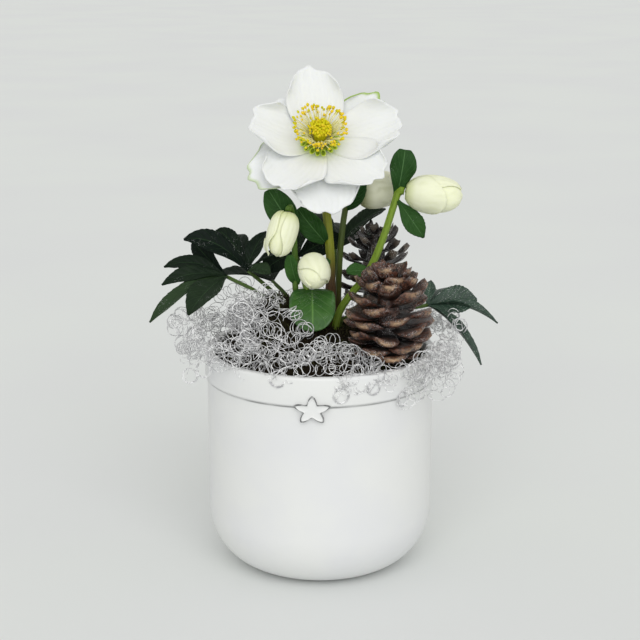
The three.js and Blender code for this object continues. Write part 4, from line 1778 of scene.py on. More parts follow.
@dataclass
class Bloom:
    """The open flower, which looks forwards and up."""

    middle: Triple = (0, 4, 244)
    tilt: float = 46.0  # how far its face looks up, in degrees
    seat_top: float = 1.3
    wall: float = 0.6
    horns: int = 18
    outer_stamens: int = 110
    middle_stamens: int = 14
    inner_anthers: int = 130
    head_radius: float = 6.1
    head_height: float = 14.4
    seed: int = 7
    sepals: tuple[Sepal, ...] = (
        Sepal(-7, 45.5, 33, 18),
        Sepal(-79, 41, 34, 18),
        Sepal(82, 47, 35, 16),
        Sepal(-143, 42, 37, 8),
        Sepal(132, 43, 38, 8),
        Sepal(174, 44, 42, -4, 0, 2.4),
        Sepal(-42, 38, 28, 8, 0, 2.4),
        Sepal(48, 45.8, 25, 10, -6, 2.8, 0.9),
        Sepal(-121, 44, 36, 0, 0, 2.7, 0.5),
    )

    CUP_SIDES = 28
    # radius and height of the receptacle, from behind to its rim
    CUP = ((0.0, -3.2), (2.8, -3.2), (3.6, -2.6), (5.6, -1.2), (6.4, 0.4), (6.6, 1.3), (5.0, 1.6), (0.0, 1.6))
    HORN_SIDES = 9
    # radius and height up the outside of a horn, over its lip and down its throat
    HORN = ((0.0, 0.0), (0.7, 0.2), (0.9, 1.8), (1.35, 3.6), (1.5, 4.2), (1.3, 4.3), (1.0, 3.2), (0.0, 2.0))
    HORN_RING = 6.6  # radius of the ring that the horns stand in
    HORN_STRAY = 0.3
    HORN_LEAN = (38, 54)
    HORN_SIZE = (1.05, 1.25)
    HORN_FLAT = 0.82
    HORN_LIP = (0.35, 4)  # how far its outer lip runs on, and from which height
    # where filaments start, how far out and how high their anthers are, in the outer and the middle ring
    OUTER = ((2.4, 5.4), (12.6, 15.8), (13.6, 17.8))
    MIDDLE = ((2.0, 4.0), (8.4, 12.4), (11.0, 15.0))
    WOBBLE = (-0.15, 0.15)
    BOW = (0.55, 0.6, 0.72)  # share of the reach, some more, and share of the height of a filament's bow
    FILAMENT = (0.36, 0.12)  # its radius at the foot, and how much less it is at the anther
    FILAMENT_FACES = (3, 7)
    FILAMENT_TONE = 0.1
    ANTHER = Vector((0.7, 0.86, 1.1))
    ANTHER_LEAN = (0.2, 1.4)
    ANTHER_SIZE = (0.85, 1.2)
    ANTHER_TONE = (0.4, 1.0)
    YOUNG = Vector((0.95, 0.7, 1.1))
    YOUNG_DOME = 0.04  # how fast the head falls away from its middle
    YOUNG_UP = (-1.3, 1.0)
    YOUNG_OUT = (-0.8, 0.9)
    YOUNG_LEAN = (-0.5, 0.5)
    YOUNG_SIZE = (0.8, 1.1)
    YOUNG_TONE = (0.4, 0.8)
    BOSS = (0.5, 0.25)  # its radius as a share of the head's, and how much more it is above
    BOSS_SUNK = 0.6
    BOSS_FACES = (14, 8)
    BOSS_TONE = 0.42

    def frame(self) -> Matrix:
        """The bloom's place, with its face along its own +Z."""
        return Matrix.Translation(self.middle) @ spin(radians(90 - self.tilt), "X", 4)

    def build(self) -> None:
        """Builds sepals, nectaries and stamens."""
        self.build_sepals()
        self.build_nectaries()
        self.build_stamens()

    def build_sepals(self) -> None:
        """Builds the nine sepals and the receptacle behind them."""
        shape = Shape()
        for sepal in self.sepals:
            shape.sheet(*sepal.FACES, sepal.place, sepal.green)
        place = self.frame()
        shape.finish("bloom_sepals_white", SEPAL_COAT, "bloom_sepals", place=place, thickness=self.wall)
        cup = Shape()
        cup.turned(self.CUP, self.CUP_SIDES)
        cup.finish("bloom_receptacle", NECTAR, "bloom_sepals", place=place)

    def build_nectaries(self) -> None:
        """Builds a ring of open horns round the foot of the stamens."""
        rng = random.Random(self.seed)
        shape = Shape()
        longer, high = self.HORN_LIP
        for index in range(self.horns):
            turn = WHOLE_TURN * (index + self.HORN_STRAY * rng.random()) / self.horns
            lean = radians(rng.uniform(*self.HORN_LEAN))
            size = rng.uniform(*self.HORN_SIZE)
            own = spin(turn, "Z", 4) @ Matrix.Translation((self.HORN_RING, 0, self.seat_top))
            own = own @ spin(lean, "Y", 4)

            def place(r: float, turn: float, z: float) -> Vector:
                """Places a point of one horn, whose outer lip is the longer.

                Args:
                    r: the profile's radius.
                    turn: the direction round the horn, in radians.
                    z: the profile's height.

                Returns:
                    The point.
                """
                x, y = r * cos(turn), r * sin(turn)
                up = z + longer * x * (z / high) ** 2
                return own @ Vector((x * size, self.HORN_FLAT * y * size, up * size))

            shape.turned(self.HORN, self.HORN_SIDES, rng.random(), place)
        shape.finish("bloom_horns", NECTAR, "bloom_nectaries", place=self.frame())

    def build_stamens(self) -> None:
        """Builds a cup of long stamens round a dense head of young ones."""
        rng = random.Random(self.seed)
        shape = Shape()
        low = self.seat_top
        for index in range(self.outer_stamens):
            self.stamen(shape, index * GOLDEN_ANGLE, self.OUTER, rng)
        for index in range(self.middle_stamens):
            self.stamen(shape, (index + 0.5) * GOLDEN_ANGLE, self.MIDDLE, rng)
        for index in range(self.inner_anthers):
            r = self.head_radius * sqrt((index + 0.5) / self.inner_anthers)
            turn = index * GOLDEN_ANGLE
            up = low + self.head_height - self.YOUNG_DOME * r * r + rng.uniform(*self.YOUNG_UP)
            r += rng.uniform(*self.YOUNG_OUT)
            lean = spin(rng.uniform(*self.YOUNG_LEAN), "X") @ spin(turn, "Z")
            size = self.YOUNG * rng.uniform(*self.YOUNG_SIZE)
            shape.bead(polar(r, turn, up), size, lean, rng.uniform(*self.YOUNG_TONE))
        top = low + self.head_height - self.BOSS_SUNK
        boss = Path([(0, 0, low), (0, 0, 0.5 * (low + top)), (0, 0, top)])
        shape.rod(boss, self.boss, *self.BOSS_FACES, self.BOSS_TONE)
        shape.finish("bloom_stamen_head", POLLEN, "bloom_stamens", place=self.frame())

    def boss(self, _: float, t: float) -> float:
        """The radius of the core under the young stamens, a little more above."""
        wide, more = self.BOSS
        return self.head_radius * (wide + more * t)

    def filament(self, _: float, t: float) -> float:
        """The radius of a filament, a little less at its anther."""
        thick, less = self.FILAMENT
        return thick - less * t

    def stamen(self, shape: Shape, turn: float, ring: Sequence[Pair], rng: random.Random) -> None:
        """Adds one filament, bowed outwards, with its anther.

        Args:
            shape: what it is added to.
            turn: its direction round the bloom.
            ring: the least and the most that it starts, reaches out and stands up.
            rng: the bloom's random draw.
        """
        start, reach, height = [rng.uniform(*limits) for limits in ring]
        wobble = turn + rng.uniform(*self.WOBBLE)
        out, more, up = self.BOW
        tip = polar(reach, wobble, height)
        bow = polar(out * reach + more, 0.5 * (turn + wobble), up * height)
        way = Path([polar(start, turn, self.seat_top), bow, tip])
        shape.rod(way, self.filament, *self.FILAMENT_FACES, self.FILAMENT_TONE)
        lean = spin(wobble, "Z") @ spin(rng.uniform(*self.ANTHER_LEAN), "Y")
        size = self.ANTHER * rng.uniform(*self.ANTHER_SIZE)
        shape.bead(tip, size, lean, rng.uniform(*self.ANTHER_TONE))


# ---------------- buds


@dataclass(frozen=True)
class Wrap:
    """One outer sepal of a bud, wrapped round it."""

    turn: float  # its middle, in degrees round the bud
    spread: float  # how far it reaches to each side, in degrees
    start: float  # where it begins along the bud
    end: float  # where its lip is
    proud: float  # how far it stands out
    flare: float = 0.0  # how far its lip opens


@dataclass(frozen=True)
class Bud:
    """A closed flower on its stem's end."""

    name: str
    base: Triple
    tip: Triple
    thick: float
    wraps: tuple[Wrap, ...]
    finish: BudCoat = BUD_COAT
    fullness: float = 0.86  # below 1 it is fuller near its base

    ROOM = 0.9  # that its heart leaves for the outer sepals
    SQUARE = 2.3
    HEART_FACES = (30, 22)
    SPIRAL = 0.03  # how far the three inner sepals stand out where they wind together
    SPIRAL_FROM = 0.3
    WRAP_FACES = (18, 18)
    WALL = 0.5
    LIP_ROUND = 0.36
    OVAL = (0.2, 0.62)  # where an outer sepal's outline starts on a sine's wave, and how much it has of it
    FLARE_FROM = 0.55
    RIPPLE = (0.25, 2.5, 2)  # height, and how close together across and along
    LEAST = 1.2  # radius of its ends
    PRESSED = 0.35  # how much less an outer sepal stands out at its edges

    def share(self, t: float) -> float:
        """Its radius at t along it, as a share of its widest one: an egg, fuller near its base."""
        return sqrt(max(0.0, 1 - abs(2 * clamp(t) ** self.fullness - 1) ** self.SQUARE))

    def frame(self) -> Matrix:
        """The bud's place, with its tip along its own +Z."""
        along = Vector(self.tip) - Vector(self.base)
        return Matrix.Translation(self.base) @ UP.rotation_difference(along).to_matrix().to_4x4()

    def build(self) -> None:
        """Builds the inner egg and the wrapped sepals."""
        length = (Vector(self.tip) - Vector(self.base)).length
        widest = self.thick / 2 - self.ROOM

        def egg(s: float, t: float) -> Vector:
            """Places a point of the inner sepals, which spiral together at the tip.

            Args:
                s: share round the bud.
                t: share along it.

            Returns:
                The point.
            """
            wind = self.SPIRAL * sin(WHOLE_TURN * (3 * s + t)) * ease(self.SPIRAL_FROM, 1.0, t)
            r = widest * self.share(t) * (1 + wind) if 0 < t < 1 else 0.0
            return polar(r, WHOLE_TURN * s, length * t)

        inner = Shape()
        inner.sheet(*self.HEART_FACES, egg, wrapped=True)
        inner.finish(f"{self.name}_heart", self.finish, self.name, place=self.frame())
        outer = Shape()
        for wrap in self.wraps:
            outer.sheet(*self.WRAP_FACES, self.wrapping(wrap, length, widest))
        outer.finish(f"{self.name}_wraps", self.finish, self.name, place=self.frame(), thickness=self.WALL)

    def wrapping(self, wrap: Wrap, length: float, widest: float) -> Placer:
        """Makes the rule that lays one outer sepal round the bud.

        Args:
            wrap: the sepal.
            length: the bud's length.
            widest: the radius of its heart.

        Returns:
            The place of a point of the sepal.
        """
        first, run = self.OVAL
        high, over, up = self.RIPPLE

        def place(s: float, t: float) -> Vector:
            """Places a point of the sepal, whose free lip is round.

            Args:
                s: share across the sepal.
                t: share along it.

            Returns:
                The point.
            """
            across = 2 * s - 1
            along = wrap.start + (wrap.end - wrap.start) * t * (1 - self.LIP_ROUND * across * across * t)
            wide = radians(wrap.spread) * sin(pi * (first + run * t)) ** 0.5
            turn = radians(wrap.turn) + across * wide
            lip = wrap.flare * ease(self.FLARE_FROM, 1.0, t) ** 2
            ripple = high * noise.noise(Vector((over * across, up * t, wrap.turn)))
            proud = wrap.proud * (1 - self.PRESSED * abs(across) ** 3)
            r = max(self.LEAST, widest * self.share(along)) + proud + lip + ripple
            return polar(r, turn, along * length)

        return place


BUDS = (
    Bud(
        "bud_left", (-17.8, -12, 208.4),
        (-24.5, -20.5, 185),
        16.5,
        (
            Wrap(316, 66, 0.03, 1.0, 1.0, 0.4),
            Wrap(88, 52, 0.03, 1.04, 0.9, 2.0),
            Wrap(200, 74, 0.03, 0.98, 0.5, 1.2),
        ),
    ),
    Bud(
        "bud_center", (-5, -12, 180.6),
        (-1.5, -32, 172),
        18.6,
        (Wrap(58, 124, 0.03, 0.98, 0.7), Wrap(222, 84, 0.03, 0.95, 0.2)),
    ),
    Bud(
        "bud_right", (47.5, -1, 218),
        (79.5, -6, 215),
        22,
        (
            Wrap(270, 88, 0.03, 0.76, 1.0, 0.3),
            Wrap(90, 84, 0.03, 0.99, 0.7, 0.3),
            Wrap(180, 60, 0.03, 0.97, 0.4, 0.5),
        ),
        fullness=1.0,
    ),
    Bud(
        "bud_back", (20.6, 18.4, 213.6),
        (47, 22, 218),
        22,
        (
            Wrap(270, 84, 0.03, 0.9, 0.8, 0.3),
            Wrap(100, 80, 0.03, 0.96, 0.6),
            Wrap(0, 60, 0.03, 0.94, 0.9, 0.2),
        ),
        SHADED_BUD_COAT,
    ),
)


# ---------------- flower stems


@dataclass(frozen=True)
class Stem:
    """A flower stem with its bracts."""

    name: str
    root: Pair
    radius: float
    path: tuple[Triple, ...]
    base: Triple  # where its flower begins
    tip: Triple  # which way the flower goes on from there
    bracts: tuple[Blade, ...]
    finish: StemCoat
    swell: float = 0.0  # how much thicker its foot is

    NECK = (3.0, 0.3)  # how far before the flower the stem already looks its way
    FACES = (14, 60)
    TAPER = 0.1
    RIBS = (5, 0.035)
    SWOLLEN = (0.2, 0.46)  # up to where the foot is swollen, and where that has run out
    KNOTS = (0.3, 5, 30, 2.0)  # size, how close together round and along, and layer of the foot's knots
    HEAD = (0.94, 0.12)  # where it widens under the flower, and how much
    BUMPS = (0.05, 3, 14)

    def build(self) -> None:
        """Builds the stem and its bracts."""
        base = Vector(self.base)
        along = (Vector(self.tip) - base).normalized()
        way = stem_way(self.root, (*self.path, *[tuple(base - along * short) for short in self.NECK]))
        stem = Shape()
        stem.rod(way, self.thick, *self.FACES)
        stem.finish(f"{self.name}_stalk", self.finish, self.name)
        blades = Shape()
        for blade in self.bracts:
            blade.add(blades)
        blades.finish(f"{self.name}_bracts", BRACT_COAT, self.name, thickness=BLADE_WALL)

    def thick(self, s: float, t: float) -> float:
        """Finds its radius: ribbed, swollen at the foot and under the flower.

        Args:
            s: the share round it.
            t: the share along it.

        Returns:
            The radius.
        """
        ribs, deep = self.RIBS
        size, round_it, along, layer = self.KNOTS
        knots = 1 + size * noise.noise(Vector((round_it * s, along * t, layer)))
        foot = self.swell * (1 - ease(*self.SWOLLEN, t)) * knots
        start, wider = self.HEAD
        high, over, up = self.BUMPS
        bumps = high * noise.noise(Vector((over * s, up * t, self.radius)))
        rib = deep * cos(ribs * WHOLE_TURN * s)
        return self.radius * (1.0 - self.TAPER * t + rib + foot + wider * ease(start, 1.0, t) + bumps)


PLAIN_BRACT = {"fold": 14.0, "wave": 0.5, "outline": Outline.BRACT}


def bract(base: Triple, tip: Triple, width: float, arch: float, **settings: object) -> Blade:
    """A plain oval blade, but for its own settings."""
    return Blade(base, tip, width, arch, **{**PLAIN_BRACT, **settings})


FACING = (0.1, -1, 0.15)
BROAD_BRACT = {"outline": Outline.BROAD, "wave": 2.4}
LONG_BRACT = {"outline": Outline.LEAFLET, "wave": 1.0}
STEMS = (
    Stem(
        "stem_bloom", (3, 5),
        2.7,
        ((6, 2, 158), (6, 3, 179), (3.7, 6, 206), (1, 10.5, 228)),
        (0, 6.22, 241.7),
        (0, 4, 244),
        (bract((3, 3, 188), (-12.5, -1, 208), 14, 2, lift=(-0.3, -0.9, 0.3), wave=1.4),),
        StemCoat("bloom_stem_coat", Slot.STEM, tint(84, 60, 34), tint(130, 136, 30), (0.42, 0.6)),
        swell=1.1,
    ),
    Stem(
        "stem_bud_back", (10, 10),
        1.9,
        ((10.5, 9, 150), (11.2, 8, 175), (13, 10, 195), (15.6, 14.5, 209.5)),
        (20.6, 18.4, 213.6),
        (47, 22, 218),
        (bract((15, 12.2, 206), (25, 6, 222), 12, 1, lift=(-0.2, -1, 0.2), tone=0.1),),
        StemCoat("back_stem_coat", Slot.STEM, tint(80, 60, 30), tint(66, 82, 22)),
        swell=0.4,
    ),
    Stem(
        "stem_bud_right", (7.5, -3.5),
        2.2,
        ((11, -3, 148), (27.5, -2, 172), (36.4, -1, 193), (42.6, 0, 213)),
        (47.5, -1, 218),
        (79.5, -6, 215),
        (
            bract((43.5, 0.5, 216), (47.5, 1, 241), 15, 2, lift=FACING, **BROAD_BRACT, tone=0.25),
            bract((43.5, -1, 213), (58.5, -4, 192), 12, 1, lift=FACING, **LONG_BRACT, tone=0.3),
            bract((28, -3, 172), (15, -8, 173), 10, 1, lift=(0, -0.6, 0.8), tone=0.6),
        ),
        StemCoat("right_stem_coat", Slot.STEM, tint(104, 112, 40), tint(122, 150, 46), (0.1, 0.4)),
    ),
    Stem(
        "stem_bud_left", (-5, -5),
        1.8,
        ((-9, -6, 148), (-13.3, -8, 160), (-14.3, -6, 187), (-15.2, -4.8, 203.5)),
        (-17.8, -12, 208.4),
        (-24.5, -20.5, 185),
        (
            bract((-14.5, -5, 197), (-29, -2, 219), 17, 1, lift=(0, -1, 0), tone=0.35),
            bract((-13, -8, 166), (-17, -13, 184), 9, 1, lift=(-0.2, -1, 0), tone=0.7),
        ),
        StemCoat("left_stem_coat", Slot.STEM, tint(96, 108, 40), tint(84, 116, 40), (0.1, 0.5)),
    ),
    Stem(
        "stem_bud_center", (0, -8),
        1.8,
        ((-3, -9, 148), (-7, -9, 160), (-8, -7, 173)),
        (-5, -12, 180.6),
        (-1.5, -32, 172),
        (bract((-7, -7, 166), (5, -6, 180), 8, 1, lift=(0.3, -1, 0), tone=0.5),),
        StemCoat("center_stem_coat", Slot.STEM, tint(104, 120, 46), tint(120, 152, 56), (0.1, 0.5)),
    ),
)


OVAL_LEAF = bract(
    (-4.5, -9, 163), (-4, -33, 145), 26, 3, fold=8.0, outline=Outline.ROUND, wave=1.2, tone=0.45
)


# ---------------- pine cones


@dataclass(frozen=True)
class Cone:
    """An open pine cone whose thick-tipped scales wind round its core."""

    name: str
    foot: Triple
    lean: float
    height: float
    width: float
    scales: int
    half: float  # half width of a low scale
    thick: float  # of its rim
    finish: Bark
    seed: int
    rise: float  # how steeply its top scales stand up, in degrees

    FACES = (12, 10)  # of a scale
    OVAL = (0.1, 0.75)  # where its outline starts on a sine's wave, and how much it has of it
    POINTED = 0.5
    CORE = (7.5, 0.6, 8, 5)  # radius, height of its ridges, how many of them, and how far they wind
    CORE_ENDS = (0.0, 0.45, 0.86)
    CORE_FACES = (24, 20)
    CORE_TONE = 0.0
    STRAY = (-0.08, 0.08)
    LOWEST = -4  # how steeply its lowest scales stand up
    STEEPER = 1.6
    RISE_STRAY = (-12, 11)
    ROLL = (-0.45, 0.45)
    REACH_STRAY = (0.96, 1.02)
    INSIDE = 3  # how far from the axis a scale grows
    SMALLER = 0.36  # how much narrower the top scales are
    HALF_STRAY = (0.84, 1.1)
    GROWN = (0.07, 0.71)  # where on the height the lowest scale grows, and how far above it the highest
    NECK = 0.38  # of a scale, as a share of its half width
    SPREAD = (1.45, 1.5)  # how soon a scale is at its widest, and how slowly it begins to spread
    ROUND_FROM = 0.72
    THIN = 0.5
    THICKENS = (0.3, 0.85)
    THIN_RIM = 0.6
    SPOON = 2.6
    SPOON_FROM = 0.3
    TILT = 5
    SAG = (-0.8, 0.9)  # in its middle and at its rim
    CURLS_FROM = 0.75
    FORESHORTENED = 0.6
    RIDGE = (0.25, 3, 5)  # height, and how close together across and along

    def share(self, u: float) -> float:
        """How far scale tips stand from the axis at u from foot to top, as a share of the half width."""
        start, run = self.OVAL
        return (0.5 + 0.5 * sin(pi * (start + run * u))) * (1 - self.POINTED * u**3)

    def build(self) -> None:
        """Builds the core and the scales."""
        rng = random.Random(self.seed)
        shape = Shape()
        core = Path([(0, 0, share * self.height) for share in self.CORE_ENDS])
        shape.rod(core, self.core, *self.CORE_FACES, self.CORE_TONE)
        for index in range(self.scales):
            u = (index + 0.5) / self.scales
            self.scale(shape, u, index * GOLDEN_ANGLE + rng.uniform(*self.STRAY), rng)
        place = Matrix.Translation(self.foot) @ spin(radians(-self.lean), "X", 4)
        shape.finish(f"{self.name}_scales", self.finish, self.name, place=place)

    def core(self, s: float, t: float) -> float:
        """The radius of the core, which is ridged and runs to a point."""
        radius, high, ridges, wind = self.CORE
        return radius * (1 - t**3) + high * sin(WHOLE_TURN * (ridges * s + wind * t))

    def scale(self, shape: Shape, u: float, turn: float, rng: random.Random) -> None:
        """Adds one scale: a narrow root, then a spoon with a thick round rim.

        Args:
            shape: what it is added to.
            u: how far up the cone it grows.
            turn: its direction round the cone.
            rng: the cone's random draw.
        """
        rise = radians(self.LOWEST + self.rise * u**self.STEEPER + rng.uniform(*self.RISE_STRAY))
        roll = rng.uniform(*self.ROLL)
        reach = (self.width / 2) * self.share(u) * rng.uniform(*self.REACH_STRAY) - self.INSIDE
        half = self.half * (1 - self.SMALLER * u) * rng.uniform(*self.HALF_STRAY)
        low, above = self.GROWN
        root = self.height * (low + above * u)
        own = spin(turn, "Z")
        middle_sag, rim_sag = self.SAG
        high, over, along = self.RIDGE
        soon, slow = self.SPREAD

        def place(s: float, t: float) -> Vector:
            """Places a point of the scale.

            Args:
                s: share round the section.
                t: share along the scale.

            Returns:
                The point.
            """
            around = WHOLE_TURN * s
            full = sin(pi / 2 * min(1.0, soon * t)) ** slow
            wide = half * (self.NECK + (1 - self.NECK) * full)
            past = max(0.0, (t - self.ROUND_FROM) / (1 - self.ROUND_FROM))
            close = sqrt(max(0.0, 1 - past**2)) if t < 1 else 0.0
            wide *= close
            deep = (self.THIN + self.thick * ease(*self.THICKENS, t)) * close**self.THIN_RIM
            across = cos(around)
            tilt = self.SPOON * across * across + roll * self.TILT * across
            spoon = tilt * ease(self.SPOON_FROM, 1.0, t) * (wide / half)
            out = self.INSIDE + reach * t * cos(self.FORESHORTENED * rise)
            sag = middle_sag * sin(pi * t) + rim_sag * ease(self.CURLS_FROM, 1.0, t)
            up = root + reach * t * sin(rise) + spoon + sag + deep * sin(around)
            ridge = high * noise.noise(Vector((over * across, along * t, turn)))
            return own @ Vector((out, wide * across, up + ridge * t))

        shape.sheet(*self.FACES, place, rng.random(), wrapped=True)


CONES = (
    Cone("pine_cone_front", (37.5, -33, 128), 0, 62, 54, 52, 9.4, 1.8, BARK, 3, 58.0),
    Cone("pine_cone_back", (33, 25, 132.5), 4, 72, 50, 50, 4.4, 1.0, DARK_BARK, 9, 52.0),
)


# ---------------- curled wire


@dataclass(frozen=True)
class Tuft:
    """A loose heap of curled wire that lies along a way."""

    name: str
    route: tuple[Triple, ...]
    spread: Triple  # how far strands stray from the way
    strands: int
    rings: int  # of each strand
    seed: int
    wire: float = 0.24  # radius of the wire
    loose: tuple[Triple, ...] = ()  # middles of the rings that hang by themselves

    STEPS = 16  # of one turn
    TURNS = (1.1, 2.8)  # of one ring
    CURL = (2.4, 5.2)  # radius of the least and the greatest ring
    DRIFT = (4.0, 10.0)  # how far along the way the next ring is
    STRAY = 0.55
    WANDER = 2.6
    CLEAR = 0.4
    PRESSED = 0.86  # how far into a cone's outline the wire may go, as a share of its width
    FACING = ((0.0, 0.6), (-0.9, 0.6), (0.3, 0.6))  # middle and spread of the way that a ring faces
    LOOSE_TURNS = 2.6
    LOOSE_CURL = 4.1
    LOOSE_WAVE = (0.12, 0.7)  # how much the loose ring's radius changes, and how fast
    LOOSE_FACING = ((0.0, 0.15), (0.2, 0.1))

    def build(self, moss: Moss, pot: Pot, cones: Sequence[Cone]) -> None:
        """Winds the strands and makes them one mesh.

        Args:
            moss: what they lie on.
            pot: whose rim they hang over.
            cones: what they go round.
        """
        curve = bpy.data.curves.new(self.name, "CURVE")
        curve.dimensions = "3D"
        curve.bevel_depth = self.wire * MM
        curve.bevel_resolution = 0
        curve.use_fill_caps = True
        rng = random.Random(self.seed)
        path = Path(self.route)
        strands = [self.strand(path, rng) for _ in range(self.strands)]
        strands += [self.loose_ring(Vector(middle), rng) for middle in self.loose]
        for strand in strands:
            spline = curve.splines.new("POLY")
            spline.points.add(len(strand) - 1)
            for bead, point in zip(spline.points, strand):
                bead.co = (*(self.clear(point, moss, pot, cones) * MM), 1.0)
        wire = show(f"{self.name}_curve", curve)
        mesh = bpy.data.meshes.new_from_object(wire.evaluated_get(bpy.context.evaluated_depsgraph_get()))
        bpy.data.objects.remove(wire)
        mesh.name = self.name
        mesh.shade_smooth()
        dress(show(f"{self.name}_strands", mesh), SILVER, self.name)

    def strand(self, path: Path, rng: random.Random) -> list[Vector]:
        """Winds one strand: rings of a turn or more, each in its own plane, that follow each other.

        Args:
            path: the way.
            rng: the tuft's random draw.

        Returns:
            The points that the wire goes through.
        """
        share = rng.random()
        drift = rng.choice((-1, 1)) * rng.uniform(*self.DRIFT) / path.length
        stray = Vector([rng.gauss(0, self.STRAY) * far for far in self.spread])
        middle, radius, axis = path.at(share)[0] + stray, rng.uniform(*self.CURL), self.facing(rng)
        side = axis.orthogonal().normalized()
        turn = rng.uniform(0.0, WHOLE_TURN)
        points: list[Vector] = []
        for _ in range(self.rings):
            share = clamp(share + drift)
            stray += Vector([rng.gauss(0, self.WANDER) for _ in range(3)])
            following, wide, facing = path.at(share)[0] + stray, rng.uniform(*self.CURL), self.facing(rng)
            steps = round(rng.uniform(*self.TURNS) * self.STEPS)
            for step in range(steps):
                blend = ease(0.0, 1.0, step / steps)
                normal = axis.lerp(facing, blend).normalized()
                side = (side - normal * side.dot(normal)).normalized()
                turn += WHOLE_TURN / self.STEPS
                out = cos(turn) * side + sin(turn) * normal.cross(side)
                points.append(middle.lerp(following, blend) + (radius + (wide - radius) * blend) * out)
            middle, radius, axis = following, wide, facing
        return points

    def loose_ring(self, middle: Vector, rng: random.Random) -> list[Vector]:
        """Winds a ring of several turns that hangs from the heap by its own wire.

        Args:
            middle: of the ring.
            rng: the tuft's random draw.

        Returns:
            The points that the wire goes through.
        """
        heap = min((Vector(place) for place in self.route), key=lambda place: (place - middle).length)
        sideways, upwards = self.LOOSE_FACING
        axis = Vector((rng.gauss(*sideways), -1, rng.gauss(*upwards))).normalized()
        side = axis.orthogonal().normalized()
        change, fast = self.LOOSE_WAVE
        turns = []
        for step in range(round(self.LOOSE_TURNS * self.STEPS)):
            turn = WHOLE_TURN * step / self.STEPS
            radius = self.LOOSE_CURL * (1 + change * sin(fast * turn))
            turns.append(middle + radius * (cos(turn) * side + sin(turn) * axis.cross(side)))
        run = [heap.lerp(turns[0], step / self.STEPS) for step in range(self.STEPS)]
        return run + turns

    def facing(self, rng: random.Random) -> Vector:
        """The way that one ring faces, mostly to the front."""
        return Vector([rng.gauss(*limits) for limits in self.FACING]).normalized()

    def clear(self, point: Vector, moss: Moss, pot: Pot, cones: Sequence[Cone]) -> Vector:
        """Moves a point out of the moss, the pot's wall and the cones.

        Args:
            point: where the wire would go.
            moss: the moss under it.
            pot: the pot with its rim.
            cones: the cones beside it.

        Returns:
            Where it goes.
        """
        moved = point.copy()
        r = hypot(moved.x, moved.y)
        outside = pot.radius + pot.collar_proud + self.CLEAR
        above = pot.height + self.CLEAR
        if r < moss.fill_radius:
            moved.z = max(moved.z, moss.height(moved.x, moved.y) + self.CLEAR)
        elif r < outside and moved.z < above:
            if pot.height - moved.z < outside - r:
                moved.z = above
            else:
                moved.x, moved.y = moved.x * outside / r, moved.y * outside / r
        for cone in cones:
            u = (moved.z - cone.foot[2]) / cone.height
            if 0 < u < 1:
                off = Vector((moved.x - cone.foot[0], moved.y - cone.foot[1], 0))
                room = 0.5 * cone.width * cone.share(u) * self.PRESSED
                if off.length < room:
                    moved += off.normalized() * (room - off.length)
        return moved


TUFTS = (
    Tuft(
        "wire_curls_left",
        (
            *((-12, -42, 141), (-28, -38, 146), (-42, -30, 149)),
            *((-46, -14, 153), (-36, -18, 158), (-26, -34, 148)),
        ),
        (10, 11, 5), 23, 4, 11,
    ),
    Tuft(
        "wire_curls_rim_left",
        ((-38, -46, 138), (-56, -42, 140), (-68, -30, 140), (-73, -8, 142), (-70, 12, 142), (-54, 30, 142)),
        (9, 9, 12), 25, 4, 12,
        0.19,
        loose=((-73.5, -20, 115.5), (-65, -30, 122)),
    ),
    Tuft(
        "wire_curls_front",
        ((-46, -44, 136), (-30, -50, 136), (-14, -50, 136), (2, -47, 137), (16, -48, 135), (32, -52, 131)),
        (9, 9, 5), 20, 4, 13,
        0.22,
        loose=((-22.5, -60, 126), (11, -63, 118)),
    ),
    Tuft(
        "wire_curls_right",
        ((12, -63, 127), (30, -60, 123), (48, -53, 122), (62, -38, 126), (71, -22, 131), (75, -4, 135)),
        (7, 5, 8), 21, 4, 14,
        0.2,
        loose=((28, -58, 121), (44, -48, 111)),
    ),
    Tuft(
        "wire_curls_back",
        ((71, 12, 133), (63, 29, 136), (48, 38, 138), (24, 52, 136), (-6, 53, 136), (-34, 44, 136)),
        (9, 9, 9), 30, 3, 15,
        0.18,
    ),
)


# ---------------- the studio


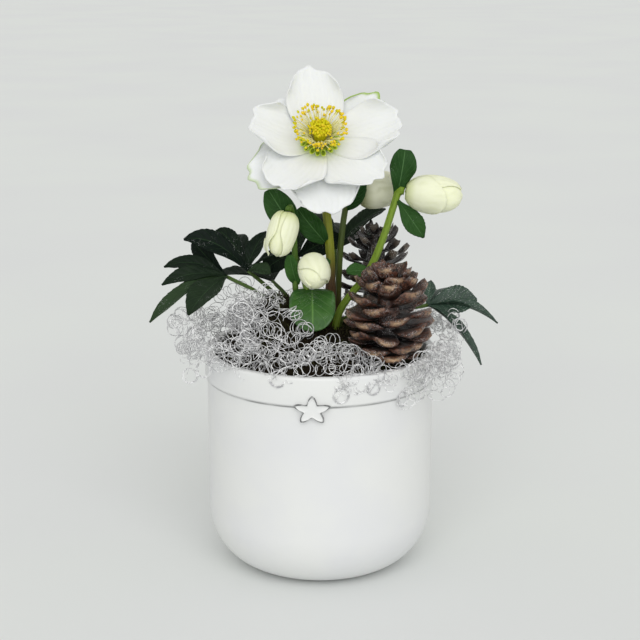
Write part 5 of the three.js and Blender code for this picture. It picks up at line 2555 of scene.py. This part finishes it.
@dataclass
class Studio:
    """The floor, the soft light and the camera."""

    distance: float = 850
    elevation: float = 14.7
    target: float = 143
    focal: float = 1480 / 640  # in widths of the picture
    sensor: float = 36
    nearest: float = 0.01  # in metres
    floor_size: float = 40.0  # in metres
    floor_faces: int = 8
    sky: Colour = (1.0, 1.0, 0.99, 1.0)
    sky_strength: float = 0.66
    sun_strength: float = 1.36
    sun_angle: float = 60.0  # how wide the soft lamp looks from the flower, in degrees
    sun_from: Triple = (0.08, -1.0, 0.66)

    def build(self) -> None:
        """Sets up the studio."""
        self.floor()
        self.light()
        self.camera()

    def floor(self) -> None:
        """Lays a wide plain floor."""
        plane = bmesh.new()
        faces = self.floor_faces
        bmesh.ops.create_grid(plane, x_segments=faces, y_segments=faces, size=self.floor_size / 2)
        mesh = bpy.data.meshes.new("floor")
        plane.to_mesh(mesh)
        plane.free()
        floor = show("floor", mesh)
        floor.data.materials.append(Paper("paper", Slot.CERAMIC).material())

    def light(self) -> None:
        """Hangs an even sky, and one wide soft lamp above the front."""
        world = bpy.data.worlds.new("sky")
        world.use_nodes = True
        shade = world.node_tree.nodes["Background"]
        shade.inputs["Color"].default_value = self.sky
        shade.inputs["Strength"].default_value = self.sky_strength
        bpy.context.scene.world = world
        sun = bpy.data.lights.new("soft_lamp", "SUN")
        sun.energy = self.sun_strength
        sun.angle = radians(self.sun_angle)
        show("soft_lamp", sun).rotation_euler = Vector(self.sun_from).to_track_quat("Z", "Y").to_euler()
        view = bpy.context.scene.view_settings
        view.view_transform = "Standard"
        view.look = "None"

    def camera(self) -> None:
        """Stands a camera a little above the flower, looking down at it."""
        lens = bpy.data.cameras.new("camera")
        lens.sensor_width = self.sensor
        lens.lens = self.focal * self.sensor
        lens.clip_start = self.nearest
        camera = show("camera", lens)
        down = radians(self.elevation)
        back = Vector((0, -cos(down), sin(down))) * self.distance * MM
        camera.location = Vector((0, 0, self.target * MM)) + back
        camera.rotation_euler = (pi / 2 - down, 0, 0)
        bpy.context.scene.camera = camera


def main() -> None:
    """Builds the studio and the part in order."""
    logging.basicConfig(level=logging.INFO, format="%(message)s")
    Studio().build()
    pot, moss = Pot(), Moss()
    for piece in (pot, moss, *LEAVES, *STEMS):
        piece.build()
    oval = Shape()
    OVAL_LEAF.add(oval)
    oval.finish("oval_leaf", OVAL_COAT, "stem_bud_center", thickness=BLADE_WALL)
    for piece in (Bloom(), *BUDS, *CONES):
        piece.build()
    for tuft in TUFTS:
        tuft.build(moss, pot, CONES)


if __name__ == "__main__":
    main()
